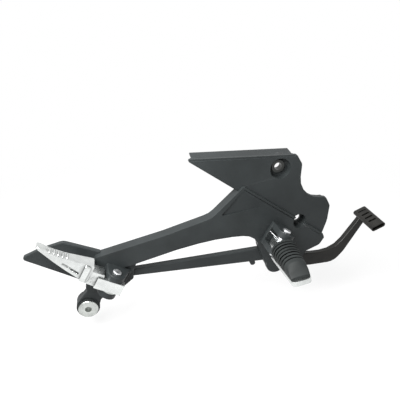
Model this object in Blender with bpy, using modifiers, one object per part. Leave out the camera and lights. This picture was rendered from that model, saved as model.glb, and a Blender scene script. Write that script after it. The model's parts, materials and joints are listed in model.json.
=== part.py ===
"""Right-hand motorcycle footrest hanger: a cast bracket that carries a folding rider peg,
a folding pillion peg, the rear brake pedal and a rubber-bushed muffler mount.

Metres. X runs forward, Z up, and the outer side of the hanger faces -Y. The origin is on the
upper frame bolt's axis, in the plane where the hanger's pads meet the motorcycle's frame.
The pedal is up, the rider peg is out and the pillion peg is stowed.
"""

import math

import bmesh
import bpy
from mathutils import Matrix, Vector

# Gaps: between pieces that touch, and between pieces that pass each other
FIT = 0.0003
PASSING = 0.0015
OVERCUT = 0.001

# Casting. Depths run outwards from the frame plane, and outlines are (x, z, corner radius).
PLATE_DEPTH = 0.014
ARM_DEPTH = 0.018
PLATE_BACK = 0.0010
ARM_BACK = 0.0016
SKIN = 0.0055
WALL = 0.005
LIP = 0.0022
PLATE_EDGE = 0.0016
ARM_EDGE = 0.0025
ARM_WIDE_EDGE = 0.0050
ARM_WIDE_SIDE = (-0.5, 0.87)
WIDE_SPREAD = 0.6
WALL_TILT = 0.1
SAME_POINT = 0.00001
CAST_EDGE = 0.0015
UPPER_PLATE = (
    (-0.1260, 0.0217, 0.0020),
    (0.0220, 0.0176, 0.0040),
    (0.0305, 0.0040, 0.0060),
    (0.0297, -0.0475, 0.0330),
    (0.0705, -0.0475, 0.0060),
    (0.0783, -0.0615, 0.0060),
    (0.0773, -0.0846, 0.0200),
    (0.0720, -0.1051, 0.0020),
    (0.0575, -0.1046, 0.0020),
    (-0.0545, -0.0289, 0.0020),
)
RABBET = 0.0026
RABBET_DEPTH = 0.0015
FLANGE = (
    (-0.1215, 0.0193, 0.0010),
    (0.0175, 0.0156, 0.0010),
    (0.0225, 0.0106, 0.0010),
    (-0.1080, 0.0143, 0.0010),
)
FLANGE_BACK = -0.012
FLANGE_TILT = 8.0
ARM = (
    (-0.0500, -0.0195, 0.0035),
    (0.0705, -0.1029, 0.0030),
    (0.0737, -0.1101, 0.0030),
    (0.0675, -0.1211, 0.0080),
    (0.0265, -0.1391, 0.0200),
    (-0.0135, -0.1416, 0.0040),
    (-0.0230, -0.1180, 0.0010),
    (-0.0265, -0.0940, 0.0250),
    (-0.0750, -0.0930, 0.1500),
    (-0.1250, -0.1000, 0.2500),
    (-0.1945, -0.1185, 0.0040),
    (-0.2405, -0.1290, 0.0030),
    (-0.2505, -0.1035, 0.0060),
    (-0.1560, -0.0805, 0.1000),
    (-0.0925, -0.0615, 0.0300),
    (-0.0588, -0.0288, 0.0060),
)
BEAD = 0.0028
BEAD_GROOVE = 0.0012
BEAD_GROOVE_DEPTH = 0.0012
PANEL = (
    (-0.0520, -0.0270, 0.0020),
    (-0.0810, -0.0605, 0.0020),
    (-0.0250, -0.0510, 0.0020),
    (-0.0280, -0.0440, 0.0020),
)
PANEL_TILT = 2.4
STRUT = (
    (-0.2065, -0.1340, 0.0020),
    (-0.0135, -0.1234, 0.0020),
    (-0.0115, -0.1438, 0.0020),
    (-0.2065, -0.1441, 0.0020),
)
STRUT_NEAR = -0.0005
STRUT_FAR = 0.0085
REAR_BLOCK = (
    (-0.1915, -0.1116, 0.0020),
    (-0.1985, -0.1330, 0.0040),
    (-0.1995, -0.1446, 0.0030),
    (-0.2230, -0.1640, 0.0080),
    (-0.2440, -0.1596, 0.0050),
    (-0.2500, -0.1330, 0.0050),
    (-0.2425, -0.1020, 0.0050),
)
REAR_NEAR = -0.002
REAR_FAR = 0.014
FIN = (
    (-0.3405, -0.0975, 0.0035),
    (-0.3175, -0.0878, 0.0300),
    (-0.2850, -0.0792, 0.0120),
    (-0.2400, -0.0990, 0.0020),
    (-0.2385, -0.1590, 0.0020),
)
FIN_NEAR = 0.0034
FIN_FAR = 0.009
STALK = (
    (-0.2430, -0.1480, 0.0020),
    (-0.2622, -0.1480, 0.0020),
    (-0.2649, -0.1554, 0.0030),
    (-0.2634, -0.1615, 0.0040),
    (-0.2750, -0.1753, 0.0030),
    (-0.2790, -0.1880, 0.0020),
    (-0.2500, -0.1900, 0.0020),
    (-0.2462, -0.1785, 0.0030),
    (-0.2413, -0.1739, 0.0020),
    (-0.2485, -0.1570, 0.0030),
)
STALK_NEAR = -0.004
STALK_FAR = 0.007
RIB = 0.004
RIB_NEAR = 0.0022

# Frame bolts and the upper one's sleeve
UPPER_BOLT = (0.0, 0.0)
LOWER_BOLT = (0.0340, -0.0806)
UPPER_BOSS_RADIUS = 0.0180
UPPER_BORE_RADIUS = 0.0070
UPPER_SINK_RADIUS = 0.0142
LOWER_BOSS_RADIUS = 0.0140
LOWER_BORE_RADIUS = 0.0055
LOWER_SINK_RADIUS = 0.0100
UPPER_PAD_WALL = 0.0032
LOWER_PAD_WALL = 0.0036
BOSS_STEP = 0.001
SLEEVE_BORE_RADIUS = 0.0052
SLEEVE_FLANGE_RADIUS = 0.0088
SLEEVE_FLANGE = 0.0016
SLEEVE_SPIGOT = 0.0050

# Muffler mount: cast eye, rubber bush and steel collar
MUFFLER = (-0.2646, -0.1885)
EYE_RADIUS = 0.0160
EYE_BORE_RADIUS = 0.0110
EYE_NEAR = -0.010
EYE_FAR = 0.0068
GROMMET_FLANGE_RADIUS = 0.0150
GROMMET_FLANGE = 0.0025
COLLAR_RADIUS = 0.0070
COLLAR_BORE_RADIUS = 0.0045
COLLAR_FLANGE_RADIUS = 0.0136
COLLAR_FLANGE = 0.0020
COLLAR_EDGE = 0.0005

# Peg clevises. Both pins lean forward at the top, so the pegs fold back and up.
PIN_RAKE = 29.0
PIN_RADIUS = 0.0040
PIN_HEAD_RADIUS = 0.0058
PIN_HEAD = 0.0020
PIN_EDGE = 0.0007
PIN_TAIL = 0.0030
CLIP_NECK = 0.0012
CLIP_THICKNESS = 0.0010
CLIP_RADIUS = 0.0062
EAR = 0.0080
EAR_RADIUS = 0.0125
EAR_EDGE = 0.0010
CLEVIS_STEP = 0.0005
RIDER_PIVOT = (-0.0030, -0.0400, -0.0954)
RIDER_SWEEP = 3.5
RIDER_TONGUE = 0.0180
RIDER_TONGUE_RADIUS = 0.0110
RIDER_REACH = 0.0170
RIDER_FLARE = 0.0010
PILLION_PIVOT = (-0.2287, -0.0340, -0.1323)
PILLION_TONGUE = 0.0157
PILLION_TONGUE_RADIUS = 0.0120
PILLION_REACH = 0.0145
PILLION_FLARE = 0.0090
HEEL_START = 0.0015
TONGUE_RUN = 0.0220
TONGUE_EDGE = 0.0006

# Rider peg: core, rubber, screws and fold spring. The tread is turned about the peg's axis.
TREAD_ROLL = 42.0
CORE_START = 0.0135
CORE_LENGTH = 0.0830
CORE_ROOT_WIDTH = 0.0360
CORE_TIP_WIDTH = 0.0240
CORE_TIP_ROUND = 0.0060
CORE_TOP = -0.0067
CORE_THICKNESS = 0.0060
CORE_EDGE = 0.0010
RUBBER_START = 0.0165
RUBBER_END = 0.0785
RUBBER_ROOT_WIDTH = 0.0340
RUBBER_TIP_WIDTH = 0.0235
RUBBER_ROOT_TOP = 0.0130
RUBBER_TIP_TOP = 0.0090
RUBBER_END_TOP = -0.0025
SLOPE_START = 0.0640
RUBBER_SIDE = 0.0070
RUBBER_CROWN = 0.0020
RIB_COUNT = 7
RIB_FIRST = 0.0205
RIB_PITCH = 0.0058
GROOVE_WIDTH = 0.0022
GROOVE_DEPTH = 0.0018
GROOVE_LIP = 0.25
SECTION_POINTS = 12
SCREW_PLACES = (0.0330, 0.0620)
SCREW_RADIUS = 0.0022
SCREW_HEAD_RADIUS = 0.0042
SCREW_HEAD = 0.0028
SCREW_HEAD_EDGE = 0.4
SCREW_HEAD_FACE = 0.6
SCREW_GRIP = 0.0050
SPRING_SPACE = 0.0065
SPRING_WIRE = 0.0015
SPRING_RADIUS = 0.0062
SPRING_TURNS = 2
SPRING_LEG = 0.0125
SPRING_SPLAY = 0.35

# Pillion peg. The side view is (along the peg, along the pin, corner radius).
PILLION_SIDE = (
    (0.0320, -0.0030, 0.0010),
    (0.0460, -0.0025, 0.0150),
    (0.0620, 0.0020, 0.0600),
    (0.0790, 0.0075, 0.0600),
    (0.1055, 0.0175, 0.0020),
    (0.1070, 0.0200, 0.0010),
    (0.0880, 0.0170, 0.0300),
    (0.0680, 0.0168, 0.0400),
    (0.0320, 0.0205, 0.0010),
)
PILLION_TOP = (0.0680, 0.0168, 0.0880, 0.0170)
PILLION_WIDTH = 0.0220
PILLION_TIP_WIDTH = 0.0130
PILLION_LENGTH = 0.1070
PILLION_TIP_ROUND = 0.0055
NECK_WIDTH = 0.0190
NECK_SIDE = (
    (0.0110, -0.0076, 0.0),
    (0.0390, -0.0060, 0.0),
    (0.0390, 0.0125, 0.0),
    (0.0150, 0.0125, 0.0010),
    (0.0150, 0.0076, 0.0),
    (0.0110, 0.0076, 0.0),
)
COLLAR_PLACE = 0.0360
COLLAR_LENGTH = 0.0070
COLLAR_WIDTH = 0.0240
COLLAR_LOW = -0.0045
COLLAR_HIGH = 0.0185
TEETH = 5
TOOTH_FIRST = 0.0665
TOOTH_PITCH = 0.0056
TOOTH_RADIUS = 0.0016
TOOTH_SINK = 0.0004
TOOTH_LENGTH = 0.0110
SIDE_GROOVE = 0.0026
SIDE_GROOVE_DEPTH = 0.0030
SIDE_GROOVE_START = (0.0466, 0.0039)
SIDE_GROOVE_END = (0.0792, 0.0118)
DETENT_PLATE = 0.0015
DETENT_PLATE_RADIUS = 0.0122
DETENT_PLACE = 0.0088
CLICK_RADIUS = 0.0019
BALL_RADIUS = 0.0028
BALL_BORE = 0.0130
DETENT_WIRE = 0.0006
DETENT_TURNS = 4

# Brake pedal: lever, pad and pivot
PEDAL_PIVOT = (0.0030, -0.1462)
PEDAL_NEAR = 0.0020
PEDAL_FAR = 0.0100
LEVER_EDGE = 0.0015
HUB_RADIUS = 0.0130
HUB_NEAR = -0.0050
LUG_RADIUS = 0.0138
PEDAL_ARM = (
    (-0.0065, -0.1306, 0.0020),
    (0.0575, -0.1411, 0.0600),
    (0.0970, -0.1410, 0.0400),
    (0.1315, -0.0885, 0.0020),
    (0.1445, -0.0855, 0.0020),
    (0.1128, -0.1435, 0.0250),
    (0.0990, -0.1603, 0.0220),
    (0.0575, -0.1616, 0.0600),
    (0.0015, -0.1561, 0.0020),
)
BUSH_RADIUS = 0.0075
PIVOT_RADIUS = 0.0055
PIVOT_HEAD_RADIUS = 0.0090
PIVOT_HEAD = 0.0050
PIVOT_CAP = 0.0012
WASHER_RADIUS = 0.0105
WASHER = 0.0015
STOP_PLACE = 0.0420
STOP_RADIUS = 0.0055
PAD_CENTRE = (0.1368, -0.0842)
PAD_TILT = 24.0
PAD_WIDTH = 0.0205
PAD_THICKNESS = 0.0072
PAD_SHEET = 0.0015
PAD_NEAR = -0.0030
PAD_LENGTH = 0.0500
PAD_SLOTS = 4
PAD_SLOT_FIRST = 0.0080
PAD_SLOT_PITCH = 0.0092
PAD_SLOT_LENGTH = 0.0120
PAD_SLOT_WIDTH = 0.0034

# Return spring, between a post on the strut and a post on the pedal's tab
ANCHOR = (-0.0279, -0.1468)
ANCHOR_BOSS_RADIUS = 0.0038
ANCHOR_CAP = 0.0025
TAB_RADIUS = 0.0190
TAB_ANGLE = 98.0
TAB = 0.0035
TAB_WIDTH = 0.0110
TAB_OVERHANG = 1.25
POST_RADIUS = 0.0020
POST_HEAD_RADIUS = 0.0040
POST_HEAD = 0.0015
POST_TIP = -0.0122
SPRING_DEPTH = -0.0102
RETURN_WIRE = 0.0012
RETURN_RADIUS = 0.0036
RETURN_TURNS = 10
RETURN_PITCH = 0.0018
HOOK_OPENING = 70.0

# How finely round shapes are drawn
SEGMENTS = 28
ARC_STEP = 18.0
COIL_POINTS = 10
SMALL_COIL_POINTS = 8

UPRIGHT = Matrix.Rotation(math.radians(90), 4, "X")
OUTWARD = Vector((0.0, -1.0, 0.0))


def reaches(corners):
    """How far each corner's arc runs along its two sides, so that no two arcs overlap."""
    flat = [Vector(corner[:2]) for corner in corners]
    count = len(flat)
    wanted = []
    for index, corner in enumerate(corners):
        before = flat[index - 1] - flat[index]
        after = flat[(index + 1) % count] - flat[index]
        wanted.append(corner[2] / math.tan(before.angle(after) / 2))
    shares = []
    for index in range(count):
        length = (flat[(index + 1) % count] - flat[index]).length
        shares.append(min(1.0, 0.98 * length / max(wanted[index] + wanted[(index + 1) % count], 1e-9)))
    return [reach * min(shares[index - 1], shares[index]) for index, reach in enumerate(wanted)]


def rounded(corners):
    """An outline's points, with each corner replaced by an arc of its radius."""
    points = []
    for index, reach in enumerate(reaches(corners)):
        corner = Vector(corners[index][:2])
        if not reach:
            points.append(corner)
            continue
        before = (Vector(corners[index - 1][:2]) - corner).normalized()
        after = (Vector(corners[(index + 1) % len(corners)][:2]) - corner).normalized()
        half = before.angle(after) / 2
        centre = corner + (before + after).normalized() * (reach / math.cos(half))
        start = corner + before * reach - centre
        sweep = start.angle_signed(corner + after * reach - centre)
        steps = max(1, round(abs(math.degrees(sweep)) / ARC_STEP))
        for step in range(steps + 1):
            points.append(centre + Matrix.Rotation(-sweep * step / steps, 2) @ start)
    return points


def inset(corners, distance):
    """The outline moved inwards by a distance, which may be negative."""
    flat = [Vector(corner[:2]) for corner in corners]
    area = sum(a.x * b.y - b.x * a.y for a, b in zip(flat, flat[1:] + flat[:1]))
    side = math.copysign(1.0, area)
    moved = []
    for index, corner in enumerate(flat):
        before = (corner - flat[index - 1]).normalized()
        after = (flat[(index + 1) % len(flat)] - corner).normalized()
        normal = Vector((-before.y - after.y, before.x + after.x)).normalized() * side
        stretch = normal.dot(Vector((-before.y, before.x)) * side)
        place = corner + normal * (distance / stretch)
        turn = side * (before.x * after.y - before.y * after.x)
        radius = corners[index][2] - math.copysign(distance, turn * distance)
        moved.append((place.x, place.y, max(radius, 0.0005)))
    return moved


def on_bench(name, mesh):
    """A new object on the workbench, where pieces lie until they are finished."""
    made = bpy.data.objects.new(name, mesh)
    WORKBENCH.objects.link(made)
    return made


def baked(source):
    """The mesh that the object and its modifiers give."""
    bpy.context.view_layer.update()
    graph = bpy.context.evaluated_depsgraph_get()
    return bpy.data.meshes.new_from_object(source.evaluated_get(graph))


def welded(source, place):
    """The source's mesh as one closed solid, moved to its place. The source is removed."""
    mesh = baked(source)
    name = source.name
    bpy.data.objects.remove(source)
    body = bmesh.new()
    body.from_mesh(mesh)
    bmesh.ops.remove_doubles(body, verts=body.verts, dist=SAME_POINT)
    bmesh.ops.dissolve_limit(body, angle_limit=0.01, verts=body.verts, edges=body.edges)
    bmesh.ops.recalc_face_normals(body, faces=body.faces)
    body.transform(place)
    body.to_mesh(mesh)
    body.free()
    return on_bench(name, mesh)


def spline_object(name, points, closed):
    """A curve object through the points."""
    curve = bpy.data.curves.new(name, "CURVE")
    spline = curve.splines.new("POLY")
    spline.points.add(len(points) - 1)
    for place, point in zip(spline.points, points):
        place.co = (*Vector(point).to_3d(), 1.0)
    spline.use_cyclic_u = closed
    return on_bench(name, curve)


def soften(body, far, edge, side=None):
    """Rounds the far edges of a slab, or only those that face one side."""
    rim = []
    for line in body.edges:
        walls = [face.normal for face in line.link_faces if abs(face.normal.z) < WALL_TILT]
        if len(walls) == 1 and all(vert.co.z > far - SAME_POINT for vert in line.verts):
            if side is None or walls[0].xy.dot(Vector(side)) > WIDE_SPREAD:
                rim.append(line)
    bmesh.ops.bevel(body, geom=rim, offset=edge, segments=2, profile=0.5, affect="EDGES", clamp_overlap=True)


def slab(name, corners, near, far, place=UPRIGHT, edge=0.0, wide_edge=0.0, wide_side=None):
    """A flat outline with depth from near to far, and its far edge rounded, more so on one side."""
    source = spline_object(name, rounded(corners), True)
    source.data.dimensions = "2D"
    source.data.fill_mode = "BOTH"
    source.data.extrude = (far - near) / 2
    made = welded(source, Matrix.Translation((0, 0, (near + far) / 2)))
    body = bmesh.new()
    body.from_mesh(made.data)
    if wide_edge:
        soften(body, far, wide_edge, wide_side)
        body.normal_update()
    if edge:
        soften(body, far, edge)
    body.transform(place)
    body.to_mesh(made.data)
    body.free()
    return made


def rod(name, radius, near, far, place=UPRIGHT, centre=(0.0, 0.0)):
    """A round bar from near to far along the place's third axis."""
    mesh = bpy.data.meshes.new(name)
    body = bmesh.new()
    middle = Matrix.Translation((*centre, (near + far) / 2))
    bmesh.ops.create_cone(
        body,
        cap_ends=True,
        segments=SEGMENTS,
        radius1=radius,
        radius2=radius,
        depth=far - near,
        matrix=place @ middle,
    )
    body.to_mesh(mesh)
    body.free()
    return on_bench(name, mesh)


def block(name, low, high, place):
    """A box between two corners."""
    mesh = bpy.data.meshes.new(name)
    body = bmesh.new()
    size = Vector(high) - Vector(low)
    middle = Matrix.Translation((Vector(high) + Vector(low)) / 2)
    bmesh.ops.create_cube(body, size=1.0, matrix=place @ middle @ Matrix.Diagonal((*size, 1.0)))
    body.to_mesh(mesh)
    body.free()
    return on_bench(name, mesh)


def turned(name, profile, place=UPRIGHT, closed=False):
    """A profile of (radius, height) turned about the place's third axis."""
    mesh = bpy.data.meshes.new(name)
    links = [(index, index + 1) for index in range(len(profile) - 1)]
    if closed:
        links.append((len(profile) - 1, 0))
    mesh.from_pydata([(radius, 0.0, height) for radius, height in profile], links, [])
    source = on_bench(name, mesh)
    screw = source.modifiers.new("Turn", "SCREW")
    screw.steps = SEGMENTS
    screw.render_steps = SEGMENTS
    screw.use_merge_vertices = True
    screw.merge_threshold = SAME_POINT
    return welded(source, place)


def ring(name, inner, outer, near, far, place=UPRIGHT):
    """A plain tube."""
    profile = ((inner, far), (outer, far), (outer, near), (inner, near))
    return turned(name, profile, place, closed=True)


def wire(name, points, thickness, place):
    """A round wire along the points, with its least gap to itself measured and printed."""
    run = [0.0]
    for start, end in zip(points, points[1:]):
        run.append(run[-1] + (end - start).length)
    gap = min(
        (points[i] - points[j]).length
        for i in range(len(points))
        for j in range(i)
        if run[i] - run[j] > 3 * thickness
    )
    print(f"{name}: least gap to itself {(gap - thickness) * 1000:.2f} mm")
    source = spline_object(name, points, False)
    source.data.dimensions = "3D"
    source.data.bevel_depth = thickness / 2
    source.data.bevel_resolution = 1
    source.data.use_fill_caps = True
    return welded(source, place)


def combine(base, pieces, operation):
    """Joins pieces to the base, or cuts them from it. The pieces are removed."""
    group = bpy.data.collections.new(operation)
    for piece in pieces:
        group.objects.link(piece)
    modifier = base.modifiers.new(operation, "BOOLEAN")
    modifier.operation = operation
    modifier.operand_type = "COLLECTION"
    modifier.collection = group
    mesh = baked(base)
    base.modifiers.clear()
    base.data = mesh
    for piece in pieces:
        bpy.data.objects.remove(piece)
    bpy.data.collections.remove(group)
    return base


def fuse(base, pieces):
    return combine(base, pieces, "UNION")


def carve(base, cutters):
    return combine(base, cutters, "DIFFERENCE")


def material(name, colour, roughness, metallic):
    made = bpy.data.materials.new(name)
    made.use_nodes = True
    shader = made.node_tree.nodes["Principled BSDF"]
    shader.inputs["Base Color"].default_value = (*colour, 1.0)
    shader.inputs["Roughness"].default_value = roughness
    shader.inputs["Metallic"].default_value = metallic
    return made


def finish(made, finish_name, carrier):
    """Moves a finished piece from the workbench to the hanger, on the empty that carries it."""
    colour, roughness, metallic = FINISHES[finish_name]
    made.data.materials.clear()
    made.data.materials.append(material(made.name, colour, roughness, metallic))
    made.data.shade_smooth()
    made.data.set_sharp_from_angle(angle=math.radians(30))
    WORKBENCH.objects.unlink(made)
    HANGER.objects.link(made)
    made.parent = carrier
    made.matrix_parent_inverse = Matrix()
    return made


def frame_at(origin, along, up):
    """A place whose first axis runs along, and whose third points up."""
    across = up.cross(along)
    place = Matrix((along, across, up)).transposed().to_4x4()
    place.translation = origin
    return place


def carrier_at(name, place):
    """An empty on a joint's axis, which carries the pieces that turn there."""
    made = bpy.data.objects.new(name, None)
    HANGER.objects.link(made)
    made.matrix_world = place
    return made


def pin_axis():
    rake = math.radians(PIN_RAKE)
    return Vector((math.sin(rake), 0.0, math.cos(rake)))


def stowed_axis():
    rake = math.radians(PIN_RAKE)
    return Vector((-math.cos(rake), 0.0, math.sin(rake)))


def rider_place():
    """The rider peg's frame: along the peg, and up its pin."""
    sweep = math.radians(RIDER_SWEEP)
    along = OUTWARD * math.cos(sweep) + stowed_axis() * math.sin(sweep)
    return frame_at(RIDER_PIVOT, along, pin_axis())


def pillion_place():
    """The stowed pillion peg's frame: along the peg, and up its pin."""
    return frame_at(PILLION_PIVOT, stowed_axis(), pin_axis())


def pedal_place():
    """The pedal's pivot in the frame plane, with depth outwards."""
    return Matrix.Translation((PEDAL_PIVOT[0], 0.0, PEDAL_PIVOT[1])) @ UPRIGHT


def shifted(corners, centre):
    """The outline seen from another origin."""
    return [(x - centre[0], y - centre[1], radius) for x, y, radius in corners]


def ear_outline(reach, flare):
    """A clevis ear in plan: round at the pin, and wider at its root towards the front."""
    round_end = 0.98 * EAR_RADIUS
    return (
        (-reach - WALL, -EAR_RADIUS, 0.0),
        (EAR_RADIUS, -EAR_RADIUS, round_end),
        (EAR_RADIUS, EAR_RADIUS, round_end),
        (0.0, EAR_RADIUS, CLEVIS_STEP),
        (-reach - WALL, EAR_RADIUS + flare, 0.0),
    )


def clevis(name, pivot, tongue, spacer, reach, flare, root):
    """Two ears on a base that stands on the casting, whose root is at a depth."""
    place = frame_at(pivot, OUTWARD, pin_axis())
    top = tongue / 2 + FIT
    bottom = -tongue / 2 - FIT - spacer
    outline = ear_outline(reach, flare)
    depth = -pivot[1]
    side = EAR_RADIUS + CLEVIS_STEP
    base = (
        (root - depth, -side, 0.0),
        (-reach, -side, EAR_EDGE),
        (-reach, side + flare, EAR_EDGE),
        (root - depth, side + flare, 0.0),
    )
    return [
        slab(name + "_upper_ear", outline, top, top + EAR, place, EAR_EDGE),
        slab(name + "_lower_ear", outline, bottom - EAR, bottom, place),
        slab(name + "_base", base, bottom - EAR - CLEVIS_STEP, top + EAR - 2 * CLEVIS_STEP, place),
    ]


def pin_bore(name, pivot, tongue, spacer):
    place = frame_at(pivot, OUTWARD, pin_axis())
    reach = tongue + spacer + 2 * EAR
    return rod(name, PIN_RADIUS + FIT, -reach, reach, place)


def strip(start, end, width):
    """A straight strip's outline between two places."""
    start = Vector(start[:2])
    end = Vector(end[:2])
    across = Vector((start.y - end.y, end.x - start.x)).normalized() * width / 2
    return [(*place, 0.0) for place in (start + across, end + across, end - across, start - across)]


def rib_between(name, start, end, near, far):
    """A straight rib between two places on the back of the casting."""
    return slab(name, strip(start, end, RIB), near, far)


def upper_plate_shell():
    """A skin with a wall round its back that stands in from the skin's edge, and a deep top flange."""
    floor = PLATE_DEPTH - SKIN
    shell = slab("upper_plate", UPPER_PLATE, floor, PLATE_DEPTH, UPRIGHT, PLATE_EDGE)
    fuse(shell, [slab("upper_wall", inset(UPPER_PLATE, LIP), PLATE_BACK, floor + SKIN / 2)])
    top_left, top_right = UPPER_PLATE[:2]
    rabbet = strip(top_left, (top_right[0] - RABBET, top_right[1]), 2 * RABBET)
    cuts = [
        slab("upper_pocket", inset(UPPER_PLATE, LIP + WALL), -OVERCUT, floor),
        slab("rabbet", rabbet, PLATE_DEPTH - RABBET_DEPTH, PLATE_DEPTH + OVERCUT),
    ]
    carve(shell, cuts)
    hinge = Matrix.Translation((0.0, FLANGE[1][1], floor))
    tilted = UPRIGHT @ hinge @ Matrix.Rotation(math.radians(FLANGE_TILT), 4, "X") @ hinge.inverted()
    return fuse(shell, [slab("flange", FLANGE, FLANGE_BACK, floor + SKIN / 3, tilted)])


def panel_place():
    """The frame of the sunk panel, which dips away from the arm's diagonal edge."""
    apex = Vector((*ARM[0][:2], ARM_DEPTH))
    along = Vector(ARM[1][:2]) - Vector(ARM[0][:2])
    hinge = Matrix.Translation(apex)
    dip = Matrix.Rotation(math.radians(PANEL_TILT), 4, Vector((along.x, along.y, 0.0)))
    return UPRIGHT @ hinge @ dip @ hinge.inverted()


def arm_shell():
    """The proud arm and lobe, hollow behind, with a bead along its diagonal edge."""
    shell = slab("arm", ARM, ARM_BACK, ARM_DEPTH, UPRIGHT, ARM_EDGE, ARM_WIDE_EDGE, ARM_WIDE_SIDE)
    carve(shell, [slab("arm_pocket", inset(ARM, WALL), -OVERCUT, ARM_DEPTH - SKIN)])
    inner = inset(ARM, BEAD)
    deeper = inset(ARM, BEAD + BEAD_GROOVE)
    groove = [(*corner[:2], 0.0) for corner in (inner[0], inner[1], deeper[1], deeper[0])]
    cuts = [
        slab("bead_groove", groove, ARM_DEPTH - BEAD_GROOVE_DEPTH, ARM_DEPTH + OVERCUT),
        slab("panel", PANEL, ARM_DEPTH, ARM_DEPTH + SKIN, panel_place()),
    ]
    return carve(shell, cuts)


def pedal_room():
    """What is cut from the casting so that the pedal can turn behind its outer skin."""
    floor = PEDAL_FAR + FIT
    swept = inset(PEDAL_ARM, -PASSING)
    return [
        slab("lever_room", swept, -OVERCUT, floor),
        rod("hub_room", HUB_RADIUS + PASSING, -OVERCUT, floor, pedal_place()),
    ]


def hanger_bracket():
    """The casting: two ribbed shells, strut, fin, muffler eye, clevises and bosses."""
    bracket = upper_plate_shell()
    bosses = [
        arm_shell(),
        slab("strut", STRUT, STRUT_NEAR, STRUT_FAR, UPRIGHT, CAST_EDGE),
        slab("rear_block", REAR_BLOCK, REAR_NEAR, REAR_FAR, UPRIGHT, CAST_EDGE),
        slab("fin", FIN, FIN_NEAR, FIN_FAR, UPRIGHT, CAST_EDGE),
        slab("stalk", STALK, STALK_NEAR, STALK_FAR, UPRIGHT, CAST_EDGE),
        rod("eye", EYE_RADIUS, EYE_NEAR, EYE_FAR, UPRIGHT, MUFFLER),
        rod("upper_boss", UPPER_BOSS_RADIUS, 0.0, PLATE_DEPTH - BOSS_STEP, UPRIGHT, UPPER_BOLT),
        rod("lower_boss", LOWER_BOSS_RADIUS, 0.0, PLATE_DEPTH - BOSS_STEP, UPRIGHT, LOWER_BOLT),
        rod("anchor_boss", ANCHOR_BOSS_RADIUS, STRUT_NEAR, STRUT_FAR - BOSS_STEP, UPRIGHT, ANCHOR),
        rib_between("anchor_web", ANCHOR, (ANCHOR[0], STRUT[2][1] + RIB), STRUT_NEAR + BOSS_STEP, STRUT_FAR / 2),
        rib_between("long_rib", UPPER_BOLT, LOWER_BOLT, RIB_NEAR, PLATE_DEPTH - SKIN / 2),
        rib_between("wing_rib", UPPER_BOLT, ARM[0], RIB_NEAR, PLATE_DEPTH - SKIN / 2),
    ]
    bosses += clevis("rider", RIDER_PIVOT, RIDER_TONGUE, 0.0, RIDER_REACH, RIDER_FLARE, WALL)
    bosses += clevis(
        "pillion",
        PILLION_PIVOT,
        PILLION_TONGUE,
        DETENT_PLATE + FIT,
        PILLION_REACH,
        PILLION_FLARE,
        REAR_NEAR + WALL,
    )
    fuse(bracket, bosses)
    carve(bracket, pedal_room())
    floor = PEDAL_FAR + FIT
    stop = rod("pedal_stop", STOP_RADIUS, PEDAL_NEAR, ARM_DEPTH - SKIN / 2, UPRIGHT, stop_centre())
    lug = rod("pivot_lug", LUG_RADIUS, floor + FIT, ARM_DEPTH, pedal_place())
    fuse(bracket, [stop, lug])
    holes = [
        rod("upper_bore", UPPER_BORE_RADIUS, -OVERCUT, UPPER_PAD_WALL + OVERCUT, UPRIGHT, UPPER_BOLT),
        rod("upper_sink", UPPER_SINK_RADIUS, UPPER_PAD_WALL, PLATE_DEPTH + OVERCUT, UPRIGHT, UPPER_BOLT),
        rod("lower_bore", LOWER_BORE_RADIUS, -OVERCUT, LOWER_PAD_WALL + OVERCUT, UPRIGHT, LOWER_BOLT),
        rod("lower_sink", LOWER_SINK_RADIUS, LOWER_PAD_WALL, ARM_DEPTH + OVERCUT, UPRIGHT, LOWER_BOLT),
        rod("eye_bore", EYE_BORE_RADIUS, EYE_NEAR - OVERCUT, EYE_FAR + OVERCUT, UPRIGHT, MUFFLER),
        rod("pivot_thread", PIVOT_RADIUS + FIT, floor - OVERCUT, ARM_DEPTH - PIVOT_CAP, pedal_place()),
        rod("anchor_thread", POST_RADIUS + FIT, STRUT_NEAR - OVERCUT, STRUT_FAR - ANCHOR_CAP, UPRIGHT, ANCHOR),
        pin_bore("rider_pin_bore", RIDER_PIVOT, RIDER_TONGUE, 0.0),
        pin_bore("pillion_pin_bore", PILLION_PIVOT, PILLION_TONGUE, DETENT_PLATE + FIT),
    ]
    carve(bracket, holes)
    bracket.name = "hanger_bracket"
    return finish(bracket, "cast", None)


def stop_centre():
    """The centre of the round stop that the pedal lever's top edge rests under."""
    start = Vector(PEDAL_ARM[0][:2])
    along = (Vector(PEDAL_ARM[1][:2]) - start).normalized()
    square = Vector((-along.y, along.x))
    return start + along * ((STOP_PLACE - start.x) / along.x) + square * (STOP_RADIUS + FIT)


def upper_mount_sleeve():
    """A flanged steel sleeve that the upper frame bolt clamps."""
    outer = UPPER_BORE_RADIUS - FIT
    seat = UPPER_PAD_WALL + FIT
    profile = (
        (SLEEVE_BORE_RADIUS, seat + SLEEVE_FLANGE),
        (SLEEVE_FLANGE_RADIUS, seat + SLEEVE_FLANGE),
        (SLEEVE_FLANGE_RADIUS, seat),
        (outer, seat),
        (outer, -SLEEVE_SPIGOT),
        (SLEEVE_BORE_RADIUS, -SLEEVE_SPIGOT),
    )
    return finish(turned("upper_mount_sleeve", profile, UPRIGHT, True), "dark_steel", None)


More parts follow.
